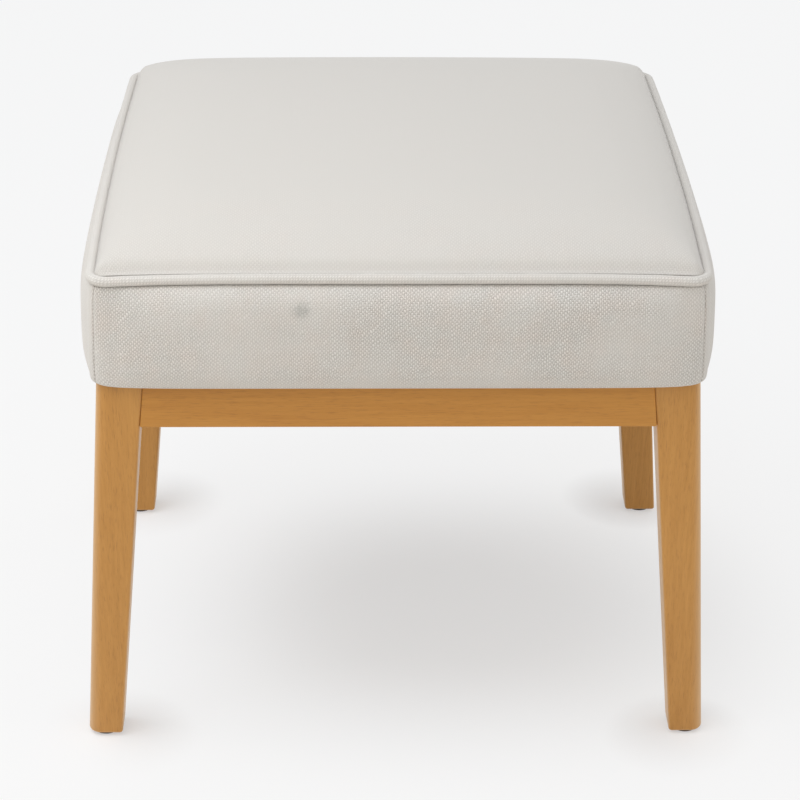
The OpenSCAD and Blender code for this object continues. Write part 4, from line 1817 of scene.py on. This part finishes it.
@dataclass
class Staples:
    """The staples that hold the dust cover to the rails, in a row just inside each apron."""

    name: str = "dust_cover_staples"
    crown: float = 0.0105
    wire: float = 0.0012
    height: float = 0.0005
    gap: float = 0.00002
    row_x: float = 0.2055
    row_y: float = 0.1955
    spacing: float = 0.041
    count: int = 6
    slant: float = 5.0

    def model(self) -> Piece:
        """Models one staple's flattened crown, with its lower edges rounded off.

        Returns:
            The staple, in the middle of the dust cover.
        """
        middle_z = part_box("dust_cover")[0].z - self.height / 2 - self.gap
        staple = new_block(self.name, (0, 0, middle_z), (self.crown, self.wire, self.height))
        low = min(vertex.co.z for vertex in staple.data.vertices)
        round_edges(staple, lambda edge: all(abs(vert.co.z - low) < 1e-6 for vert in edge.verts),
                    self.height * 0.6, 3)
        return staple

    def build(self, material: Material) -> None:
        """Makes the four rows of staples, each staple turned a little as the gun happened to be held.

        Args:
            material: their metal.
        """
        first, copies = self.model(), []
        places = [self.spacing * (k - (self.count - 1) / 2) for k in range(self.count)]
        spots = [(place, sign * self.row_y, 0.0) for sign in (-1, 1) for place in places]
        spots += [(sign * self.row_x, place, math.pi / 2) for sign in (-1, 1) for place in places]
        for index, (x, y, turn) in enumerate(spots):
            copy = copy_of(first)
            copy.location = (x, y, 0)
            copy.rotation_euler = (0, 0, turn + math.radians(self.slant * math.sin(index * 2.3)))
            settle_place(copy)
            copies.append(copy)
        bpy.data.objects.remove(first)
        staples = join(copies, self.name)
        smooth(staples, 40)
        place_on_stool(staples, material, "zinc_steel")


@dataclass
class Screws:
    """Screws of one size, each with a domed head, a cross recess and a pointed, threaded shank."""

    node: str
    name: str
    thick: float
    length: float
    head_share: float = 2.0
    head_height_share: float = 0.6
    recess_reach: float = 1.1
    recess_width: float = 0.24
    recess_depth: float = 0.55
    plain_share: float = 0.3
    pitch_share: float = 0.45
    crest: float = 0.98
    root: float = 0.78
    point_share: float = 1.2
    point_stops: tuple[tuple[float, float], ...] = ((1, 0.9), (0.3, 0.35), (0, 0.04))
    sunk: float = 0.00002
    turn_on: float = 0.7

    def model(self) -> Piece:
        """Models one screw.

        Returns:
            The screw, with its head at the origin and its point along Z.
        """
        radius, height = self.head_share * self.thick / 2, self.head_height_share * self.thick
        start_clean()
        size = (radius, radius, height)
        bpy.ops.mesh.primitive_uv_sphere_add(segments=32, ring_count=16, radius=1, scale=size)
        screw = new_piece(self.name)
        settle_place(screw)
        select_in_mesh(screw, "VERT", lambda vert: vert.co.z > 1e-6)
        bpy.ops.mesh.delete(type="VERT")
        bpy.ops.mesh.select_all(action="SELECT")
        bpy.ops.mesh.region_to_loop()
        bpy.ops.mesh.edge_face_add()
        bpy.ops.object.mode_set(mode="OBJECT")
        turn_out(screw)
        long, narrow = radius * self.recess_reach, radius * self.recess_width
        for size in ((long, narrow), (narrow, long)):
            blade = new_block("blade", (0, 0, -height), (*size, height * self.recess_depth * 2))
            finish_with(screw, "BOOLEAN", operation="DIFFERENCE", object=blade, solver="EXACT")
            bpy.data.objects.remove(blade)
        screw = join([screw, self.shank()], self.name)
        smooth(screw, 35)
        return screw

    def shank(self) -> Piece:
        """Models the shank, whose rings swell and shrink as a thread does, drawn to a point.

        Returns:
            The shank, along Z.
        """
        radius, point, pitch = self.thick / 2, self.point_share * self.thick, self.pitch_share * self.thick
        crest, root = radius * self.crest, radius * self.root
        start_clean()
        start = (0, 0, self.sunk)
        bpy.ops.mesh.primitive_circle_add(vertices=16, radius=crest, fill_type="NGON", location=start)
        shank = new_piece("shank")
        settle_place(shank)
        stops = [(self.length * self.plain_share, crest)]
        while stops[-1][0] < self.length - point - pitch:
            at = stops[-1][0]
            stops += [(at + pitch / 2, root), (at + pitch, crest)]
        stops += [(self.length - point * back, radius * wide) for back, wide in self.point_stops]
        pick(shank)
        bpy.ops.object.mode_set(mode="EDIT")
        bpy.ops.mesh.select_all(action="SELECT")
        reached, size = self.sunk, crest
        for place, wide in stops:
            bpy.ops.mesh.extrude_region_move(TRANSFORM_OT_translate={"value": (0, 0, place - reached)})
            bpy.ops.transform.resize(value=(wide / size, wide / size, 1), center_override=(0, 0, place))
            reached, size = place, wide
        bpy.ops.object.mode_set(mode="OBJECT")
        turn_out(shank)
        return shank

    def build(self, places: Sequence[tuple[Vector, Vector]], material: Material) -> None:
        """Puts a screw at each place, each turned on from the last.

        Args:
            places: where each head sits, and the way that its point looks.
            material: the screws' material.
        """
        first, copies = self.model(), []
        for index, (place, towards) in enumerate(places):
            copy = copy_of(first)
            aim = towards.to_track_quat("Z", "Y").to_matrix().to_4x4()
            turned = Matrix.Rotation(self.turn_on * index, 4, "Z")
            copy.matrix_world = Matrix.Translation(place) @ aim @ turned
            settle_place(copy)
            copies.append(copy)
        bpy.data.objects.remove(first)
        place_on_stool(join(copies, self.name), material, "zinc_steel", self.node)


# Studio


def shown_straight(g: Graph) -> Socket:
    """Tells the rays that show a surface to the camera from those that only light it.

    Args:
        g: the material's or the world's graph.

    Returns:
        1 for a ray from the camera, straight or by a gloss or glass, and else 0.
    """
    ways = g.add("ShaderNodeLightPath").outputs
    bounced = g.math("MAXIMUM", ways["Is Glossy Ray"], ways["Is Transmission Ray"])
    return g.math("MAXIMUM", ways["Is Camera Ray"], bounced)


@dataclass(frozen=True)
class Sun:
    """A soft lamp far away: where it stands, how strong it is, how wide it is in degrees, and its colour."""

    name: str
    towards: tuple[float, float, float]
    strength: float
    width: float
    colour: Colour = (1.0, 1.0, 1.0)


@dataclass(frozen=True)
class SoftBox:
    """A wide soft lamp close by: where it stands, its width, its power in watts and its colour."""

    name: str
    place: tuple[float, float, float]
    width: float
    power: float
    colour: Colour = (1.0, 1.0, 1.0)


@dataclass
class Studio:
    """The pale floor, the soft light and the camera."""

    backdrop: Colour = (0.940, 0.940, 0.940)
    floor_size: float = 60.0
    floor_colour: Colour = (0.90, 0.86, 0.80)
    shadow_centre: tuple[float, float, float] = (0.045, -0.01, 0.0)
    shadow_reach: tuple[float, float, float] = (0.36, 0.29, 1.0)
    shadow_ends: tuple[float, float] = (0.25, 1.05)
    shadow_share: float = 0.53
    contact_share: float = 0.19
    foot_share: float = 0.52
    foot_place: tuple[float, float, float] = (0.232, 0.198, 0.0)
    foot_ends: tuple[float, float] = (0.015, 0.11)
    sky: float = 0.58
    sky_colour: Colour = (1.0, 1.0, 1.0)
    sun_height: float = 3.0
    aim_z: float = 0.42
    suns: tuple[Sun, ...] = (
        Sun("key_lamp", (-0.30, -0.05, 1.0), strength=0.20, width=40, colour=(0.92, 1.0, 1.10)),
        Sun("fill_lamp", (1.0, -0.10, 0.40), strength=0.14, width=90),
    )
    boxes: tuple[SoftBox, ...] = (
        SoftBox("front_box", (-0.45, -1.00, 1.40), width=0.9, power=3.8, colour=(1.03, 1.0, 0.95)),
        SoftBox("left_box", (-0.90, -0.35, 1.35), width=0.8, power=4.2),
    )
    camera_place: tuple[float, float, float] = (-0.0342, -1.9777, 1.2088)
    pitch: float = 26.744
    yaw: float = -1.141
    roll: float = 0.42
    lens: float = 113.85
    film_width: float = 36.0

    def build(self) -> None:
        """Makes the studio."""
        self.floor()
        self.light()
        self.camera()
        bpy.context.scene.view_settings.view_transform = "Standard"

    def floor(self) -> None:
        """Makes the floor, which the camera sees in the backdrop's colour with the stool's shadow on it."""
        start_clean()
        bpy.ops.mesh.primitive_plane_add(size=self.floor_size, location=(0, 0, 0))
        floor = new_piece("studio_floor")
        material, g, shader = blank_material("studio_floor")
        g.set_inputs(shader, Base_Color=(*self.floor_colour, 1), Roughness=1, Specular_IOR_Level=0)
        glow = g.add("ShaderNodeEmission", (*self.backdrop, 1), 1.0)
        plain = g.add("ShaderNodeBsdfDiffuse", (*self.backdrop, 1))
        catcher = g.add("ShaderNodeMixShader", self.shadow(g), glow.outputs[0], plain.outputs[0])
        mixed = g.add("ShaderNodeMixShader", shown_straight(g), shader.outputs[0], catcher.outputs[0])
        g.feed(material.node_tree.nodes["Material Output"].inputs[0], mixed.outputs[0])
        floor.data.materials.append(material)

    def shadow(self, g: Graph) -> Socket:
        """Finds how much of the floor's own shading shows: more under the stool and round each foot.

        Args:
            g: the floor's graph.

        Returns:
            The share, from 0 to 1.
        """
        place = g.add("ShaderNodeTexCoord").outputs["Object"]
        away = g.vector_math("SUBTRACT", place, self.shadow_centre)
        distance = g.measure("LENGTH", g.vector_math("DIVIDE", away, self.shadow_reach))
        under = g.span(distance, *self.shadow_ends, self.shadow_share, self.contact_share,
                       interpolation_type="SMOOTHSTEP")
        off = g.measure("DISTANCE", g.vector_math("ABSOLUTE", place), self.foot_place)
        near = g.span(off, *self.foot_ends, self.foot_share, 0, interpolation_type="SMOOTHSTEP")
        return g.math("MAXIMUM", under, near)

    def light(self) -> None:
        """Makes the lamps and the even light of the room."""
        for sun in self.suns:
            lamp = bpy.data.lights.new(sun.name, "SUN")
            lamp.energy, lamp.angle, lamp.color = sun.strength * math.pi, math.radians(sun.width), sun.colour
            self.hang(lamp, Vector((0, 0, self.sun_height)), Vector(sun.towards))
        for box in self.boxes:
            lamp = bpy.data.lights.new(box.name, "AREA")
            lamp.energy, lamp.size, lamp.color = box.power, box.width, box.colour
            self.hang(lamp, Vector(box.place), Vector(box.place) - Vector((0, 0, self.aim_z)))
        world = bpy.data.worlds.new("studio")
        world.use_nodes = True
        bpy.context.scene.world = world
        g = Graph(world.node_tree)
        world.node_tree.nodes.clear()
        lit = g.add("ShaderNodeBackground", (*self.sky_colour, 1), self.sky)
        shown = g.add("ShaderNodeBackground", (*self.backdrop, 1), 1.0)
        mixed = g.add("ShaderNodeMixShader", shown_straight(g), lit.outputs[0], shown.outputs[0])
        g.add("ShaderNodeOutputWorld", mixed.outputs[0])

    @staticmethod
    def hang(lamp: bpy.types.Light, place: Vector, back: Vector) -> None:
        """Hangs a lamp.

        Args:
            lamp: the lamp.
            place: where it hangs.
            back: the way that its back looks.
        """
        holder = bpy.data.objects.new(lamp.name, lamp)
        holder.location = place
        holder.rotation_euler = back.to_track_quat("Z", "Y").to_euler()
        bpy.context.collection.objects.link(holder)

    def camera(self) -> None:
        """Makes the camera at the photograph's viewing angle."""
        data = bpy.data.cameras.new("camera")
        data.sensor_width, data.lens = self.film_width, self.lens
        data.clip_start, data.clip_end = 0.05, 100
        camera = bpy.data.objects.new("camera", data)
        bpy.context.collection.objects.link(camera)
        look = Euler((math.radians(90 - self.pitch), 0, math.radians(self.yaw)), "XYZ").to_matrix()
        turned = look @ Matrix.Rotation(math.radians(self.roll), 3, "Z")
        camera.matrix_world = Matrix.Translation(self.camera_place) @ turned.to_4x4()
        bpy.context.scene.camera = camera


# The stool and its finishes


LINEN = WovenFinish("greige_linen", srgb(236, 233, 228), srgb(178, 173, 166), pitch=1.62 * MM, depth=0.5 * MM)
# The top panel's copy of the cloth: less relief where it is drawn tight, and tones a shade darker as painted
# shade that evens out the stronger light on the top.
TIGHT_SHADED_LINEN = replace(LINEN, name="greige_linen_tight_shaded", light=srgb(233, 230, 225), dark=srgb(176, 171, 164),
                      relief=0.32)
MARKED_LINEN = replace(LINEN, name="greige_linen_marked", mark=(-0.0748, -0.2465, 0.4105))
BIAS_LINEN = replace(LINEN, name="greige_linen_bias", depth=0.3 * MM, turn=math.pi / 4, relief=0.62)
COTTON = PlainFinish("cotton_cord", srgb(226, 222, 208), srgb(196, 190, 172),
                     rough=0.9, cloud=60, tooth=2500, depth=0.2 * MM)
FOAM = PlainFinish("seat_foam", srgb(238, 226, 178), srgb(226, 208, 150),
                   rough=0.95, cloud=40, tooth=1500, depth=0.5 * MM)
WADDING = PlainFinish("polyester_wadding", srgb(240, 240, 238), srgb(214, 214, 212),
                      rough=0.98, cloud=60, tooth=900, depth=1.2 * MM)
JUTE = WovenFinish("jute_webbing", srgb(196, 164, 112), srgb(128, 98, 58),
                   pitch=2.4 * MM, depth=0.5 * MM, slub=0.5)
FELT = PlainFinish("grey_felt", srgb(128, 128, 130), srgb(84, 84, 88),
                   rough=0.98, cloud=90, tooth=1800, depth=0.4 * MM)
DUST_CLOTH = WovenFinish("dust_cloth", srgb(52, 52, 55), srgb(28, 28, 30),
                         pitch=1.6 * MM, depth=0.15 * MM, slub=0.6)
LEG_TIMBER = TimberFinish("stained_beech", srgb(204, 147, 71), srgb(185, 129, 56), srgb(152, 99, 40),
                          rough=0.4, coat=0.1, painted_edge_highlight=0.4)
APRON_TIMBER = TimberFinish("stained_beech", srgb(204, 143, 57), srgb(186, 124, 44), srgb(152, 94, 33),
                            Grain.ALONG_X, coat=0.05)
BARE_TIMBER = TimberFinish("bare_timber", srgb(222, 196, 158), srgb(206, 174, 130), srgb(176, 138, 96),
                           Grain.ALONG_X, rough=0.7)
ZINC = PlainFinish("zinc", srgb(190, 192, 190), srgb(150, 152, 152),
                   rough=0.35, cloud=90, tooth=4000, depth=0.02 * MM, metal=1.0)
PLASTIC = PlainFinish("glide_plastic", srgb(62, 54, 48), srgb(44, 38, 34),
                      rough=0.5, cloud=80, tooth=5000, depth=0.03 * MM)


@dataclass
class Footstool:
    """The whole footstool, with its finishes."""

    form: SeatForm = field(default_factory=SeatForm.from_frame)
    block_screw_thick: float = 0.004
    block_screw_length: float = 0.028
    block_screw_from: float = 0.06308
    seat_screw_thick: float = 0.005
    seat_screw_length: float = 0.046

    def build(self) -> None:
        """Makes and dresses every piece."""
        effects = Effects()
        SidePanels(self.form).build(LINEN.material(effects), MARKED_LINEN.material(effects))
        TopPanel(self.form).build(TIGHT_SHADED_LINEN.material(effects))
        Piping(self.form).build(BIAS_LINEN.material(effects), COTTON.material(effects))
        Filling(self.form).build(FOAM.material(effects), WADDING.material(effects))
        SeatBase().build(JUTE.material(effects), FELT.material(effects), DUST_CLOTH.material(effects))
        LegSet(top_z=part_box("leg_front_left")[1].z).build(LEG_TIMBER.material(effects))
        turned_timber = replace(APRON_TIMBER, grain=Grain.ALONG_Y)
        ApronSet().build(APRON_TIMBER.material(effects), turned_timber.material(effects))
        self.dress_frame(effects)

    def dress_frame(self, effects: Effects) -> None:
        """Makes the fastenings, and gives the solids that stay their materials.

        Args:
            effects: the shared effects.
        """
        timber, zinc = BARE_TIMBER.material(effects), ZINC.material(effects)
        plastic = PLASTIC.material(effects)
        Staples().build(zinc)
        self.screws(zinc)
        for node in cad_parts:
            if "block_" in node and "screws" not in node or "rail" in node or "dowels" in node:
                dress_solid(node, timber)
            elif "nails" in node:
                dress_solid(node, zinc)
            elif "glide" in node:
                dress_solid(node, plastic)

    def screws(self, zinc: Material) -> None:
        """Makes the screws of the corner blocks and those that hold the seat, at the places of their solids.

        Args:
            zinc: their metal.
        """
        low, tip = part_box("block_screws")
        height = (low.z + tip.z) / 2
        long, thick, sunk = self.block_screw_length, self.block_screw_thick, self.block_screw_from
        beside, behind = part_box("apron_right")[0].x - sunk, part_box("apron_back")[0].y - sunk
        corners = [(x, y) for x in (-1, 1) for y in (-1, 1)]
        places = []
        for x, y in corners:
            places.append((Vector((x * beside, y * (tip.y - long), height)), Vector((0, y, 0))))
            places.append((Vector((x * (tip.x - long), y * behind, height)), Vector((x, 0, 0))))
        Screws("block_screws", "corner_block_screws", thick, long).build(places, zinc)
        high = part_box("seat_screws")[1]
        thick, long = self.seat_screw_thick, self.seat_screw_length
        upward = Vector((0, 0, 1))
        places = [(Vector((x * (high.x - thick), y * (high.y - thick), high.z - long)), upward)
                  for x, y in corners]
        Screws("seat_screws", "seat_fixing_screws", thick, long).build(places, zinc)


def main() -> None:
    """Builds the footstool and its studio."""
    logging.basicConfig(level=logging.INFO, format="%(name)s: %(message)s")
    Studio().build()
    Footstool().build()


if __name__ == "__main__":
    main()
